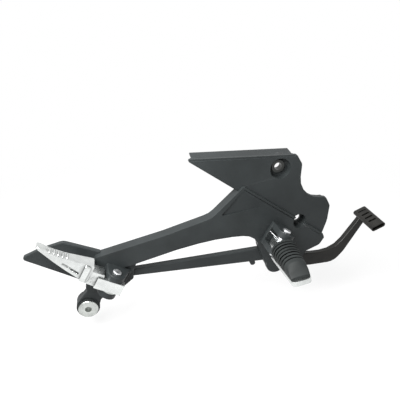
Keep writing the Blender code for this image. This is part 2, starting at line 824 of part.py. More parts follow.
def muffler_mount():
    """The rubber bush in the eye, and the flanged steel collar through it."""
    place = Matrix.Translation((MUFFLER[0], 0.0, MUFFLER[1])) @ UPRIGHT
    inner = COLLAR_RADIUS + FIT
    body = EYE_BORE_RADIUS - FIT
    outer_seat = EYE_FAR + FIT
    inner_seat = EYE_NEAR - FIT
    grommet = (
        (inner, outer_seat + GROMMET_FLANGE),
        (GROMMET_FLANGE_RADIUS, outer_seat + GROMMET_FLANGE),
        (GROMMET_FLANGE_RADIUS, outer_seat),
        (body, outer_seat),
        (body, inner_seat),
        (GROMMET_FLANGE_RADIUS, inner_seat),
        (GROMMET_FLANGE_RADIUS, inner_seat - GROMMET_FLANGE),
        (inner, inner_seat - GROMMET_FLANGE),
    )
    finish(turned("muffler_grommet", grommet, place, True), "rubber", None)
    face = outer_seat + GROMMET_FLANGE + FIT
    back = inner_seat - GROMMET_FLANGE
    collar = (
        (COLLAR_BORE_RADIUS, face + COLLAR_FLANGE),
        (COLLAR_FLANGE_RADIUS - COLLAR_EDGE, face + COLLAR_FLANGE),
        (COLLAR_FLANGE_RADIUS, face + COLLAR_FLANGE - COLLAR_EDGE),
        (COLLAR_FLANGE_RADIUS, face),
        (COLLAR_RADIUS, face),
        (COLLAR_RADIUS, back),
        (COLLAR_BORE_RADIUS, back),
    )
    finish(turned("muffler_collar", collar, place, True), "steel", None)


def clevis_pin(name, clip_name, pivot, tongue, spacer):
    """A headed pin through both ears, with a spring clip in its tail."""
    place = frame_at(pivot, OUTWARD, pin_axis())
    seat = tongue / 2 + EAR + 2 * FIT
    foot = -tongue / 2 - spacer - EAR - 2 * FIT
    neck_top = foot - FIT / 2
    neck_foot = neck_top - CLIP_THICKNESS - FIT
    neck = PIN_RADIUS - CLIP_NECK
    profile = (
        (0.0, seat + PIN_HEAD),
        (PIN_HEAD_RADIUS - PIN_EDGE, seat + PIN_HEAD),
        (PIN_HEAD_RADIUS, seat + PIN_HEAD - PIN_EDGE),
        (PIN_HEAD_RADIUS, seat),
        (PIN_RADIUS, seat),
        (PIN_RADIUS, neck_top),
        (neck, neck_top),
        (neck, neck_foot),
        (PIN_RADIUS, neck_foot),
        (PIN_RADIUS - PIN_EDGE, neck_foot - PIN_TAIL),
        (0.0, neck_foot - PIN_TAIL),
    )
    finish(turned(name, profile, place), "zinc", None)
    top = neck_top - FIT / 2
    clip = ring(clip_name, neck + FIT, CLIP_RADIUS, top - CLIP_THICKNESS, top, place)
    mouth = block(
        "clip_mouth",
        (0.0, -neck * 0.8, top - 2 * CLIP_THICKNESS),
        (2 * CLIP_RADIUS, neck * 0.8, top + CLIP_THICKNESS),
        place,
    )
    finish(carve(clip, [mouth]), "steel", None)


def tongue_outline(radius, reach, length):
    """A peg's tongue in plan: round behind the pin, with a heel that stops it when it is out."""
    return (
        (length, -radius, 0.0),
        (-radius, -radius, 0.96 * radius),
        (-radius, HEEL_START, TONGUE_EDGE),
        (FIT - reach, HEEL_START, TONGUE_EDGE),
        (FIT - reach, radius, TONGUE_EDGE),
        (length, radius, 0.0),
    )


def tapered(start, end, root, tip, tip_round):
    """A plan that narrows from root to tip."""
    return (
        (start, -root / 2, 0.0),
        (end, -tip / 2, tip_round),
        (end, tip / 2, tip_round),
        (start, root / 2, 0.0),
    )


def tread():
    """The tread's frame in the rider peg's own."""
    return Matrix.Rotation(math.radians(TREAD_ROLL), 4, "X")


def screw_holes():
    top = CORE_TOP + SCREW_GRIP + FIT
    foot = CORE_TOP - CORE_THICKNESS - OVERCUT
    return [
        rod("screw_hole", SCREW_RADIUS + FIT, foot, top, tread() @ Matrix.Translation((x, 0, 0)))
        for x in SCREW_PLACES
    ]


def rider_peg_core(carrier):
    """The aluminium core: a tongue on the pin and a flat bar under the rubber."""
    sweep = Matrix.Rotation(math.radians(RIDER_SWEEP), 4, "Z")
    top = RIDER_TONGUE / 2 - SPRING_SPACE
    outline = tongue_outline(RIDER_TONGUE_RADIUS, RIDER_REACH, TONGUE_RUN)
    core = slab("rider_peg_core", outline, -RIDER_TONGUE / 2, top, sweep)
    room = block(
        "rubber_room",
        (RUBBER_START - FIT, -RUBBER_ROOT_WIDTH, CORE_TOP - CORE_EDGE),
        (CORE_LENGTH, RUBBER_ROOT_WIDTH, RUBBER_ROOT_WIDTH),
        tread(),
    )
    carve(core, [room])
    plan = tapered(CORE_START, CORE_LENGTH, CORE_ROOT_WIDTH, CORE_TIP_WIDTH, CORE_TIP_ROUND)
    bar = slab("bar", plan, CORE_TOP - CORE_THICKNESS, CORE_TOP, tread(), CORE_EDGE)
    fuse(core, [bar])
    bore = rod("bore", PIN_RADIUS + FIT, -RIDER_TONGUE, RIDER_TONGUE, Matrix())
    carve(core, [bore] + screw_holes())
    finish(core, "aluminium", carrier)


def rubber_section(x, depth):
    """One arched section of the rubber, drawn in by a groove's depth."""
    share = (x - RUBBER_START) / (RUBBER_END - RUBBER_START)
    half = (RUBBER_ROOT_WIDTH + (RUBBER_TIP_WIDTH - RUBBER_ROOT_WIDTH) * share) / 2 - depth
    sloped = max(0.0, (x - SLOPE_START) / (RUBBER_END - SLOPE_START))
    crown = RUBBER_ROOT_TOP + (RUBBER_TIP_TOP - RUBBER_ROOT_TOP) * share - depth
    crown += (RUBBER_END_TOP - RUBBER_TIP_TOP) * sloped
    foot = CORE_TOP + FIT
    shoulder = min(foot + RUBBER_SIDE, crown - RUBBER_CROWN)
    points = [Vector((x, -half, foot)), Vector((x, half, foot))]
    for index in range(SECTION_POINTS + 1):
        angle = math.pi * index / SECTION_POINTS
        points.append(Vector((x, half * math.cos(angle), shoulder + (crown - shoulder) * math.sin(angle))))
    return points


def rubber_stations():
    """The rubber's sections along the peg: ribs with grooves between them."""
    stations = [(RUBBER_START, 0.0)]
    for index in range(RIB_COUNT):
        start = RIB_FIRST + index * RIB_PITCH
        stations.append((start, 0.0))
        stations.append((start + GROOVE_LIP * GROOVE_WIDTH, GROOVE_DEPTH))
        stations.append((start + (1 - GROOVE_LIP) * GROOVE_WIDTH, GROOVE_DEPTH))
        stations.append((start + GROOVE_WIDTH, 0.0))
    stations.append((SLOPE_START, 0.0))
    stations.append((RUBBER_END, 0.0))
    return stations


def rider_peg_rubber(carrier):
    """The ribbed rubber pad: arched sections skinned from the root to the tip."""
    body = bmesh.new()
    rows = [[body.verts.new(p) for p in rubber_section(x, depth)] for x, depth in rubber_stations()]
    for row, following in zip(rows, rows[1:]):
        for index in range(len(row)):
            beside = (index + 1) % len(row)
            body.faces.new((row[index], row[beside], following[beside], following[index]))
    body.faces.new(rows[0])
    body.faces.new(rows[-1])
    bmesh.ops.recalc_face_normals(body, faces=body.faces)
    body.transform(tread())
    mesh = bpy.data.meshes.new("rider_peg_rubber")
    body.to_mesh(mesh)
    body.free()
    rubber = carve(on_bench("rider_peg_rubber", mesh), screw_holes())
    finish(rubber, "rubber", carrier)


def rider_pad_screws(carrier):
    """Two pan-head screws that hold the rubber from below."""
    seat = CORE_TOP - CORE_THICKNESS - FIT
    for name, x in zip(("rider_pad_screw_inner", "rider_pad_screw_outer"), SCREW_PLACES):
        profile = (
            (0.0, CORE_TOP + SCREW_GRIP),
            (SCREW_RADIUS, CORE_TOP + SCREW_GRIP),
            (SCREW_RADIUS, seat),
            (SCREW_HEAD_RADIUS, seat),
            (SCREW_HEAD_RADIUS, seat - SCREW_HEAD_EDGE * SCREW_HEAD),
            (SCREW_HEAD_FACE * SCREW_HEAD_RADIUS, seat - SCREW_HEAD),
            (0.0, seat - SCREW_HEAD),
        )
        screw = turned(name, profile, tread() @ Matrix.Translation((x, 0, 0)))
        finish(screw, "zinc", carrier)


def rider_peg_spring():
    """The torsion spring round the rider peg's pin: one leg on the core, one on the clevis."""
    space_foot = RIDER_TONGUE / 2 - SPRING_SPACE + FIT
    rise = (SPRING_SPACE - SPRING_WIRE - 2 * FIT) / SPRING_TURNS
    start = space_foot + SPRING_WIRE / 2
    coil = []
    for index in range(SPRING_TURNS * COIL_POINTS + 1):
        angle = 2 * math.pi * index / COIL_POINTS - math.pi / 2
        height = start + rise * index / COIL_POINTS
        coil.append(Vector((SPRING_RADIUS * math.cos(angle), SPRING_RADIUS * math.sin(angle), height)))
    reach = RIDER_REACH - FIT - SPRING_WIRE / 2
    step = (coil[1] - coil[0]).length
    aside = Vector((-step, -step * SPRING_SPLAY, 0.0))
    inner = [coil[0] + aside * k for k in range(int(reach / step), 0, -1)]
    outer = [coil[-1] + Vector((step * k, 0, 0)) for k in range(1, int(SPRING_LEG / step) + 1)]
    place = frame_at(RIDER_PIVOT, OUTWARD, pin_axis())
    spring = wire("rider_peg_spring", inner + coil + outer, SPRING_WIRE, place)
    finish(spring, "zinc", None)


def tread_teeth():
    """Low round ridges across the pillion peg's top."""
    x0, z0, x1, z1 = PILLION_TOP
    teeth = []
    for index in range(TEETH):
        x = TOOTH_FIRST + index * TOOTH_PITCH
        z = z0 + (z1 - z0) * (x - x0) / (x1 - x0) - TOOTH_SINK
        centre = (x, z)
        teeth.append(rod("tooth", TOOTH_RADIUS, -TOOTH_LENGTH / 2, TOOTH_LENGTH / 2, UPRIGHT, centre))
    return teeth


def pillion_peg_body(carrier):
    """The bare aluminium peg: tongue, neck, collar and a wedge-shaped bar with a toothed tread."""
    half = PILLION_TONGUE / 2
    outline = tongue_outline(PILLION_TONGUE_RADIUS, PILLION_REACH, TONGUE_RUN)
    peg = slab("pillion_peg_body", outline, -half, half, Matrix())
    bar = slab("bar", PILLION_SIDE, -PILLION_WIDTH / 2, PILLION_WIDTH / 2)
    plan = tapered(0.0, PILLION_LENGTH, PILLION_WIDTH, PILLION_TIP_WIDTH, PILLION_TIP_ROUND)
    combine(bar, [slab("plan", plan, -PILLION_LENGTH, PILLION_LENGTH, Matrix())], "INTERSECT")
    neck = slab("neck", NECK_SIDE, -NECK_WIDTH / 2, NECK_WIDTH / 2)
    collar_plan = strip((COLLAR_PLACE, 0.0), (COLLAR_PLACE + COLLAR_LENGTH, 0.0), COLLAR_WIDTH)
    collar = slab("collar", collar_plan, COLLAR_LOW, COLLAR_HIGH, Matrix(), EAR_EDGE)
    fuse(peg, [bar, neck, collar] + tread_teeth())
    cuts = [rod("bore", PIN_RADIUS + FIT, -2 * half, 2 * half, Matrix())]
    cuts.append(
        rod(
            "detent_bore",
            BALL_RADIUS + FIT,
            -half - OVERCUT,
            -half + BALL_BORE,
            Matrix.Translation((DETENT_PLACE, 0, 0)),
        )
    )
    groove = strip(SIDE_GROOVE_START, SIDE_GROOVE_END, SIDE_GROOVE)
    floor = PILLION_WIDTH / 2 - SIDE_GROOVE_DEPTH
    cuts.append(slab("near_groove", groove, floor, PILLION_WIDTH))
    cuts.append(slab("far_groove", groove, -PILLION_WIDTH, -floor))
    carve(peg, cuts)
    finish(peg, "aluminium", carrier)


def pillion_detent(carrier):
    """The click: a plate on the lower ear, and a ball and spring in the tongue."""
    place = frame_at(PILLION_PIVOT, OUTWARD, pin_axis())
    top = -PILLION_TONGUE / 2 - FIT
    plate = ring("pillion_detent_plate", PIN_RADIUS + FIT, DETENT_PLATE_RADIUS, top - DETENT_PLATE, top, place)
    holes = [
        rod("click", CLICK_RADIUS, top - 2 * DETENT_PLATE, top + DETENT_PLATE, place, centre)
        for centre in ((DETENT_PLACE, 0.0), (0.0, -DETENT_PLACE))
    ]
    finish(carve(plate, holes), "steel", None)
    foot = -PILLION_TONGUE / 2
    centre = Matrix.Translation((DETENT_PLACE, 0, foot + BALL_RADIUS))
    mesh = bpy.data.meshes.new("pillion_detent_ball")
    body = bmesh.new()
    bmesh.ops.create_uvsphere(body, u_segments=12, v_segments=8, radius=BALL_RADIUS, matrix=centre)
    body.to_mesh(mesh)
    body.free()
    finish(on_bench("pillion_detent_ball", mesh), "steel", carrier)
    low = foot + 2 * BALL_RADIUS + FIT + DETENT_WIRE / 2
    high = foot + BALL_BORE - FIT - DETENT_WIRE / 2
    radius = BALL_RADIUS - DETENT_WIRE / 2
    steps = DETENT_TURNS * SMALL_COIL_POINTS
    points = []
    for index in range(steps + 1):
        angle = 2 * math.pi * index / SMALL_COIL_POINTS
        height = low + (high - low) * index / steps
        points.append(Vector((DETENT_PLACE + radius * math.cos(angle), radius * math.sin(angle), height)))
    finish(wire("pillion_detent_spring", points, DETENT_WIRE, Matrix()), "steel", carrier)


def tab_post():
    """The place of the spring's post on the pedal's tab, from the pivot."""
    angle = math.radians(TAB_ANGLE)
    return (TAB_RADIUS * math.cos(angle), TAB_RADIUS * math.sin(angle))


def brake_pedal_arm(carrier):
    """The flat steel lever with its hub, and a tab with a post for the return spring."""
    outline = shifted(PEDAL_ARM, PEDAL_PIVOT)
    lever = slab("brake_pedal_arm", outline, PEDAL_NEAR, PEDAL_FAR, Matrix(), LEVER_EDGE)
    post = tab_post()
    side = Vector((-post[1], post[0])).normalized() * TAB_WIDTH / 2
    tab = [
        (*side, 0.0),
        (*(Vector(post) * TAB_OVERHANG + side), 0.48 * TAB_WIDTH),
        (*(Vector(post) * TAB_OVERHANG - side), 0.48 * TAB_WIDTH),
        (*-side, 0.0),
    ]
    fuse(
        lever,
        [
            rod("hub", HUB_RADIUS, HUB_NEAR, PEDAL_FAR, Matrix()),
            slab("tab", tab, HUB_NEAR, HUB_NEAR + TAB, Matrix()),
            rod("post", POST_RADIUS, POST_TIP - POST_HEAD / 2, HUB_NEAR + TAB / 2, Matrix(), post),
            rod("post_head", POST_HEAD_RADIUS, POST_TIP - POST_HEAD, POST_TIP, Matrix(), post),
        ],
    )
    bore = rod("hub_bore", BUSH_RADIUS + FIT, HUB_NEAR - OVERCUT, PEDAL_FAR + OVERCUT, Matrix())
    carve(lever, [bore, pad_block("pad_room", FIT)])
    finish(lever, "black_steel", carrier)


def pad_frame():
    """The pad's frame from the pivot: across the pad, square to it, and outwards."""
    centre = (PAD_CENTRE[0] - PEDAL_PIVOT[0], PAD_CENTRE[1] - PEDAL_PIVOT[1], 0.0)
    return Matrix.Translation(centre) @ Matrix.Rotation(math.radians(PAD_TILT), 4, "Z")


def pad_outline(grow):
    """The flattened tube's section, grown by a margin."""
    across = PAD_WIDTH / 2 + grow
    up = PAD_THICKNESS / 2 + grow
    return tuple((x, y, 0.95 * up) for x, y in ((-across, -up), (across, -up), (across, up), (-across, up)))


def pad_block(name, grow):
    return slab(name, pad_outline(grow), PAD_NEAR - grow, PAD_NEAR + PAD_LENGTH + grow, pad_frame())


def brake_pedal_pad(carrier):
    """A flattened tube, open at both ends, with slots through both walls."""
    pad = pad_block("brake_pedal_pad", 0.0)
    far = PAD_NEAR + PAD_LENGTH + OVERCUT
    cuts = [slab("hollow", pad_outline(-PAD_SHEET), PAD_NEAR - OVERCUT, far, pad_frame())]
    upright = pad_frame() @ Matrix.Rotation(math.radians(-90), 4, "X")
    for index in range(PAD_SLOTS):
        depth = PAD_NEAR + PAD_SLOT_FIRST + index * PAD_SLOT_PITCH
        ends = (-PAD_SLOT_LENGTH / 2, PAD_SLOT_LENGTH / 2)
        sides = (-depth - PAD_SLOT_WIDTH / 2, -depth + PAD_SLOT_WIDTH / 2)
        corners = [(ends[i], sides[j], 0.48 * PAD_SLOT_WIDTH) for i, j in ((0, 0), (1, 0), (1, 1), (0, 1))]
        cuts.append(slab("slot", corners, -PAD_THICKNESS, PAD_THICKNESS, upright))
    finish(carve(pad, cuts), "black_steel", carrier)


def pedal_pivot(carrier):
    """The bush in the hub, and the shouldered bolt and washer that hold it to the casting."""
    bush = ring("pedal_pivot_bush", PIVOT_RADIUS + FIT, BUSH_RADIUS, HUB_NEAR, PEDAL_FAR, Matrix())
    finish(bush, "bronze", carrier)
    washer_top = HUB_NEAR - FIT
    place = pedal_place()
    washer = ring("pedal_pivot_washer", PIVOT_RADIUS + FIT, WASHER_RADIUS, washer_top - WASHER, washer_top, place)
    finish(washer, "zinc", None)
    seat = washer_top - WASHER - FIT
    bolt = rod("pedal_pivot_bolt", PIVOT_RADIUS, seat - PIVOT_HEAD / 2, ARM_DEPTH - PIVOT_CAP - FIT, place)
    corner = Vector((PIVOT_HEAD_RADIUS, 0.0))
    head = [(*(Matrix.Rotation(math.radians(60 * side), 2) @ corner), 0.0) for side in range(6)]
    fuse(bolt, [slab("head", head, seat - PIVOT_HEAD, seat, place)])
    finish(bolt, "zinc", None)


def spring_anchor_bolt():
    """The post on the strut's back that the return spring hooks over."""
    place = Matrix.Translation((ANCHOR[0], 0.0, ANCHOR[1])) @ UPRIGHT
    far = STRUT_FAR - ANCHOR_CAP - FIT
    profile = (
        (0.0, far),
        (POST_RADIUS, far),
        (POST_RADIUS, POST_TIP),
        (POST_HEAD_RADIUS, POST_TIP),
        (POST_HEAD_RADIUS, POST_TIP - POST_HEAD),
        (0.0, POST_TIP - POST_HEAD),
    )
    finish(turned("spring_anchor_bolt", profile, place), "zinc", None)


def pedal_return_spring():
    """An extension spring with a hook over each post."""
    start = Vector(ANCHOR)
    run = Vector(PEDAL_PIVOT) + Vector(tab_post()) - start
    along = Vector((run.x, 0.0, run.y)).normalized()
    place = frame_at((start.x, -SPRING_DEPTH, start.y), along, OUTWARD)
    hook = POST_RADIUS + RETURN_WIRE / 2 + FIT
    body_length = RETURN_TURNS * RETURN_PITCH
    first = (run.length - body_length) / 2
    turn = 360.0 - 2 * HOOK_OPENING
    points = []
    for index in range(COIL_POINTS + 1):
        angle = math.radians(-HOOK_OPENING - turn * index / COIL_POINTS)
        points.append(Vector((hook * math.cos(angle), hook * math.sin(angle), 0.0)))
    for index in range(RETURN_TURNS * COIL_POINTS + 1):
        angle = 2 * math.pi * index / COIL_POINTS
        along_axis = first + RETURN_PITCH * index / COIL_POINTS
        points.append(Vector((along_axis, RETURN_RADIUS * math.cos(angle), RETURN_RADIUS * math.sin(angle))))
    for index in range(COIL_POINTS + 1):
        angle = math.radians(180.0 - HOOK_OPENING - turn * index / COIL_POINTS)
        points.append(Vector((run.length + hook * math.cos(angle), hook * math.sin(angle), 0.0)))
    finish(wire("pedal_return_spring", points, RETURN_WIRE, place), "zinc", None)


FINISHES = {
    "cast": ((0.020, 0.022, 0.022), 0.45, 0.0),
    "black_steel": ((0.012, 0.012, 0.011), 0.40, 0.0),
    "rubber": ((0.018, 0.019, 0.018), 0.75, 0.0),
    "aluminium": ((0.72, 0.73, 0.73), 0.30, 1.0),
    "steel": ((0.62, 0.62, 0.61), 0.28, 1.0),
    "dark_steel": ((0.30, 0.31, 0.32), 0.40, 1.0),
    "zinc": ((0.70, 0.71, 0.72), 0.25, 1.0),
    "bronze": ((0.45, 0.30, 0.15), 0.35, 1.0),
}

for left_over in list(bpy.data.objects):
    bpy.data.objects.remove(left_over)
HANGER = bpy.data.collections.new("footrest_hanger")
WORKBENCH = bpy.data.collections.new("workbench")
bpy.context.scene.collection.children.link(HANGER)
bpy.context.scene.collection.children.link(WORKBENCH)


def main():
    rider = carrier_at("rider_peg", rider_place())
    pillion = carrier_at("pillion_peg", pillion_place())
    pedal = carrier_at("brake_pedal", pedal_place())
    hanger_bracket()
    upper_mount_sleeve()
    muffler_mount()
    clevis_pin("rider_peg_pin", "rider_pin_clip", RIDER_PIVOT, RIDER_TONGUE, 0.0)
    clevis_pin("pillion_peg_pin", "pillion_pin_clip", PILLION_PIVOT, PILLION_TONGUE, DETENT_PLATE + FIT)
    rider_peg_core(rider)
    rider_peg_rubber(rider)
    rider_pad_screws(rider)
    rider_peg_spring()
    pillion_peg_body(pillion)
    pillion_detent(pillion)
    brake_pedal_arm(pedal)
    brake_pedal_pad(pedal)
    pedal_pivot(pedal)
    spring_anchor_bolt()
    pedal_return_spring()


main()
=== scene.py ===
"""Dresses the footrest hanger: smooth castings, moulded rubber, wound springs, finishes and a studio."""

import json
import math

import bmesh
import bpy
from mathutils import Matrix, Vector
from mathutils.bvhtree import BVHTree


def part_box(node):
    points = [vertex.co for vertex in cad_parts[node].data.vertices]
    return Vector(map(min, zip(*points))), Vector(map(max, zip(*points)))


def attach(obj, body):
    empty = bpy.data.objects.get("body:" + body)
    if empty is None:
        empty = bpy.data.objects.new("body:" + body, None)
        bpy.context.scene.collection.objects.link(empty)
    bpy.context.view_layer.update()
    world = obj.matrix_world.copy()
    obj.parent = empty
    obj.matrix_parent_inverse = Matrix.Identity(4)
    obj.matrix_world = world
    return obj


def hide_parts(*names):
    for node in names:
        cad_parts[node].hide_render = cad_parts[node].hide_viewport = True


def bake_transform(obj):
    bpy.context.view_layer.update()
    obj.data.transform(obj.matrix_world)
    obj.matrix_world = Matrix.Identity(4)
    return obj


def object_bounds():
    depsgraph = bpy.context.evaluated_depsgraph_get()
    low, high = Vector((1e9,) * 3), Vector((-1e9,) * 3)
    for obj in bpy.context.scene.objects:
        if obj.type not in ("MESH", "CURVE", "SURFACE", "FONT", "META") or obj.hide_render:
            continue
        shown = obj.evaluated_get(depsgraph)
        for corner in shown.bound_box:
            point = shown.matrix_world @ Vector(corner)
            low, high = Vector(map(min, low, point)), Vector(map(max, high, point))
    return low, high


bl_info = {
    "name": "Footrest Hanger",
    "version": (1, 0, 0),
    "blender": (4, 5, 0),
    "location": "View3D > Sidebar > Hanger",
    "description": "Builds a motorcycle footrest hanger with folding pegs and a brake pedal",
    "category": "Object",
}

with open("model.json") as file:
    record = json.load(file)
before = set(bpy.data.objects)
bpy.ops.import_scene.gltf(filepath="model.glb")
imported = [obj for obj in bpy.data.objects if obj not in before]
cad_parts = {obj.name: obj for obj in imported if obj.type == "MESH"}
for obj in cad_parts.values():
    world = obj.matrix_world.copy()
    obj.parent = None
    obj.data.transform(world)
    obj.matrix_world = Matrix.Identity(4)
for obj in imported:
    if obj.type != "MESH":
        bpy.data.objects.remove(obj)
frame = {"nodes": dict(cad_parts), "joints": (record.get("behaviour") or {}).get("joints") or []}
CAD_BOX = [list(corner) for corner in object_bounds()]
JOINTS = {joint["name"]: joint for joint in frame["joints"]}
OUTWARD = Vector((0.0, -1.0, 0.0))
PIN_AXIS = Vector(JOINTS["pillion_peg_fold"]["axis"]).normalized()
STOWED_AXIS = PIN_AXIS.cross(-OUTWARD)
RIDER_PIVOT = Vector(JOINTS["rider_peg_fold"]["pos_m"])
PILLION_PIVOT = Vector(JOINTS["pillion_peg_fold"]["pos_m"])
PEDAL_PIVOT = Vector(JOINTS["brake_pedal_press"]["pos_m"])
UPPER_BOLT = Vector((0.0, 0.0, 0.0))
PHOTO_TARGET = Vector((-0.1027, 0.0080, -0.0455))

# Merging and shading of the pieces, lengths in metres, angles and creases in degrees
SAME_POINT = 0.000002
FLAT_ANGLE = 0.4
FACE_WEIGHT = 90
CAST_CREASE = 32.0
PEG_CREASE = 28.0
BALL_CREASE = 60.0
MOULDED_CREASE = 40.0

# Painted shade in the recesses of the pillion peg, in metres, with the lift of the rays as a share of their
# reach
PEG_FACET = 0.0022
SHELTER_REACH = 0.008
SHELTER_LIFT = 0.02

# Ribs of the rubber pad: metres between sections, steepness of the lips, share of the slope that eases
RIB_STEP = 0.00028
LIP_STEEPNESS = 3.0
SLOPE_EASE = 0.35

# Springs: points along a straight leg
LEG_POINTS = 6


class HangerFinishes(bpy.types.PropertyGroup):
    """Colours of the hanger's finishes."""

    casting: bpy.props.FloatVectorProperty(
        name="Casting", description="Satin black paint on the casting",
        subtype="COLOR", size=3, min=0.0, max=1.0, default=(0.0165, 0.0192, 0.0197),
    )
    pedal: bpy.props.FloatVectorProperty(
        name="Pedal", description="Black coat on the brake pedal",
        subtype="COLOR", size=3, min=0.0, max=1.0, default=(0.0075, 0.0072, 0.0062),
    )
    rubber: bpy.props.FloatVectorProperty(
        name="Rubber", description="Moulded rubber of the rider pad and the muffler bush",
        subtype="COLOR", size=3, min=0.0, max=1.0, default=(0.0125, 0.0145, 0.0143),
    )
    aluminium: bpy.props.FloatVectorProperty(
        name="Aluminium", description="Bare aluminium of both pegs",
        subtype="COLOR", size=3, min=0.0, max=1.0, default=(0.70, 0.72, 0.71),
    )
    steel: bpy.props.FloatVectorProperty(
        name="Steel", description="Bare turned steel",
        subtype="COLOR", size=3, min=0.0, max=1.0, default=(0.50, 0.52, 0.50),
    )
    zinc: bpy.props.FloatVectorProperty(
        name="Zinc", description="Bright zinc plate on pins, screws and springs",
        subtype="COLOR", size=3, min=0.0, max=1.0, default=(0.70, 0.71, 0.72),
    )
    bronze: bpy.props.FloatVectorProperty(
        name="Bronze", description="Sintered bearing bronze",
        subtype="COLOR", size=3, min=0.0, max=1.0, default=(0.42, 0.28, 0.14),
    )


class HangerRubber(bpy.types.PropertyGroup):
    """Sizes of the rider peg's rubber pad, in the peg's own frame, and of the muffler bush."""

    start: bpy.props.FloatProperty(
        name="Start", description="Distance from pin to pad", unit="LENGTH", default=0.0165)
    end: bpy.props.FloatProperty(
        name="End", description="Distance from pin to the pad's outer end", unit="LENGTH", default=0.0785)
    root_width: bpy.props.FloatProperty(
        name="Root Width", description="Width beside the clevis", unit="LENGTH", default=0.0340)
    tip_width: bpy.props.FloatProperty(
        name="Tip Width", description="Width at the outer end", unit="LENGTH", default=0.0235)
    root_top: bpy.props.FloatProperty(
        name="Root Top", description="Crown height beside the clevis", unit="LENGTH", default=0.0130)
    tip_top: bpy.props.FloatProperty(
        name="Tip Top", description="Crown height that the ribs fall towards", unit="LENGTH", default=0.0090)
    end_top: bpy.props.FloatProperty(
        name="End Top", description="Crown height at the foot of the smooth slope",
        unit="LENGTH", default=-0.0025)
    slope_start: bpy.props.FloatProperty(
        name="Slope Start", description="Where the smooth slope begins", unit="LENGTH", default=0.0640)
    foot: bpy.props.FloatProperty(
        name="Foot", description="Underside of the pad", unit="LENGTH", default=-0.0064)
    side: bpy.props.FloatProperty(
        name="Side", description="Height of the straight side wall", unit="LENGTH", default=0.0070)
    crown: bpy.props.FloatProperty(
        name="Crown", description="Least rise of the arch", unit="LENGTH", default=0.0020)
    edge: bpy.props.FloatProperty(
        name="Edge", description="Rounding of the pad's ends", unit="LENGTH", default=0.0010)
    grooves: bpy.props.IntProperty(name="Grooves", description="Grooves between the ribs", default=7, min=1)
    first_groove: bpy.props.FloatProperty(
        name="First Groove", description="Distance from pin to first groove", unit="LENGTH", default=0.0205)
    pitch: bpy.props.FloatProperty(
        name="Pitch", description="Distance from groove to groove", unit="LENGTH", default=0.0058)
    groove_width: bpy.props.FloatProperty(
        name="Groove Width", description="Width of a groove's mouth", unit="LENGTH", default=0.0022)
    groove_depth: bpy.props.FloatProperty(
        name="Groove Depth", description="Depth of a groove", unit="LENGTH", default=0.0018)
    roll: bpy.props.FloatProperty(
        name="Roll", description="Turn of the tread about the peg",
        unit="ROTATION", default=math.radians(42.0))
    sweep: bpy.props.FloatProperty(
        name="Sweep", description="Backward sweep of the peg", unit="ROTATION", default=math.radians(3.5))
    bush_lip: bpy.props.FloatProperty(
        name="Bush Lip", description="Thickness of the muffler bush's flanges", unit="LENGTH", default=0.0025)
    bush_body: bpy.props.FloatProperty(
        name="Bush Body", description="Radius of the bush between its flanges", unit="LENGTH", default=0.0107)
    bush_bore: bpy.props.FloatProperty(
        name="Bush Bore", description="Radius of the bush's bore", unit="LENGTH", default=0.0073)
    bush_corner: bpy.props.FloatProperty(
        name="Bush Corner", description="Rounding of the bush's corners", unit="LENGTH", default=0.0007)


class HangerSprings(bpy.types.PropertyGroup):
    """Sizes of the three wound springs."""

    sides: bpy.props.IntProperty(name="Sides", description="Faces round a wire", default=12, min=6)
    turn_points: bpy.props.IntProperty(
        name="Turn Points", description="Points along one turn", default=28, min=12)
    peg_wire: bpy.props.FloatProperty(
        name="Peg Wire", description="Wire of the torsion spring", unit="LENGTH", default=0.0015)
    peg_radius: bpy.props.FloatProperty(
        name="Peg Coil", description="Radius of the torsion spring", unit="LENGTH", default=0.0062)
    peg_turns: bpy.props.IntProperty(
        name="Peg Turns", description="Turns of the torsion spring", default=2, min=1)
    peg_low: bpy.props.FloatProperty(
        name="Peg Low", description="First turn's place up the pin", unit="LENGTH", default=0.00355)
    peg_rise: bpy.props.FloatProperty(
        name="Peg Rise", description="Rise of one turn", unit="LENGTH", default=0.0022)
    peg_leg: bpy.props.FloatProperty(
        name="Peg Leg", description="Leg against the peg", unit="LENGTH", default=0.0117)
    base_leg: bpy.props.FloatProperty(
        name="Base Leg", description="Leg against the clevis", unit="LENGTH", default=0.0155)
    splay: bpy.props.FloatProperty(name="Splay", description="Slant of the clevis leg", default=0.35)
    return_wire: bpy.props.FloatProperty(
        name="Return Wire", description="Wire of the pedal's spring", unit="LENGTH", default=0.0012)
    return_radius: bpy.props.FloatProperty(
        name="Return Coil", description="Radius of the pedal's spring", unit="LENGTH", default=0.00338)
    return_turns: bpy.props.IntProperty(
        name="Return Turns", description="Turns of the pedal's spring", default=10)
    return_pitch: bpy.props.FloatProperty(
        name="Return Pitch", description="Rise of one turn", unit="LENGTH", default=0.0018)
    return_depth: bpy.props.FloatProperty(
        name="Return Depth", description="Spring's place behind the bolt pads", unit="LENGTH", default=0.0102)
    tab_reach: bpy.props.FloatProperty(
        name="Tab Reach", description="Distance from pivot to the post on the pedal's tab",
        unit="LENGTH", default=0.019)
    tab_angle: bpy.props.FloatProperty(
        name="Tab Angle", description="Direction of that post from the pivot",
        unit="ROTATION", default=math.radians(98.0))
    hook: bpy.props.FloatProperty(
        name="Hook", description="Radius of the end hooks", unit="LENGTH", default=0.0029)
    hook_opening: bpy.props.FloatProperty(
        name="Hook Opening", description="Half of the gap in a hook",
        unit="ROTATION", default=math.radians(70.0))
    detent_wire: bpy.props.FloatProperty(
        name="Detent Wire", description="Wire of the pillion peg's click spring",
        unit="LENGTH", default=0.0006)
    detent_turns: bpy.props.IntProperty(
        name="Detent Turns", description="Turns of the click spring", default=4)


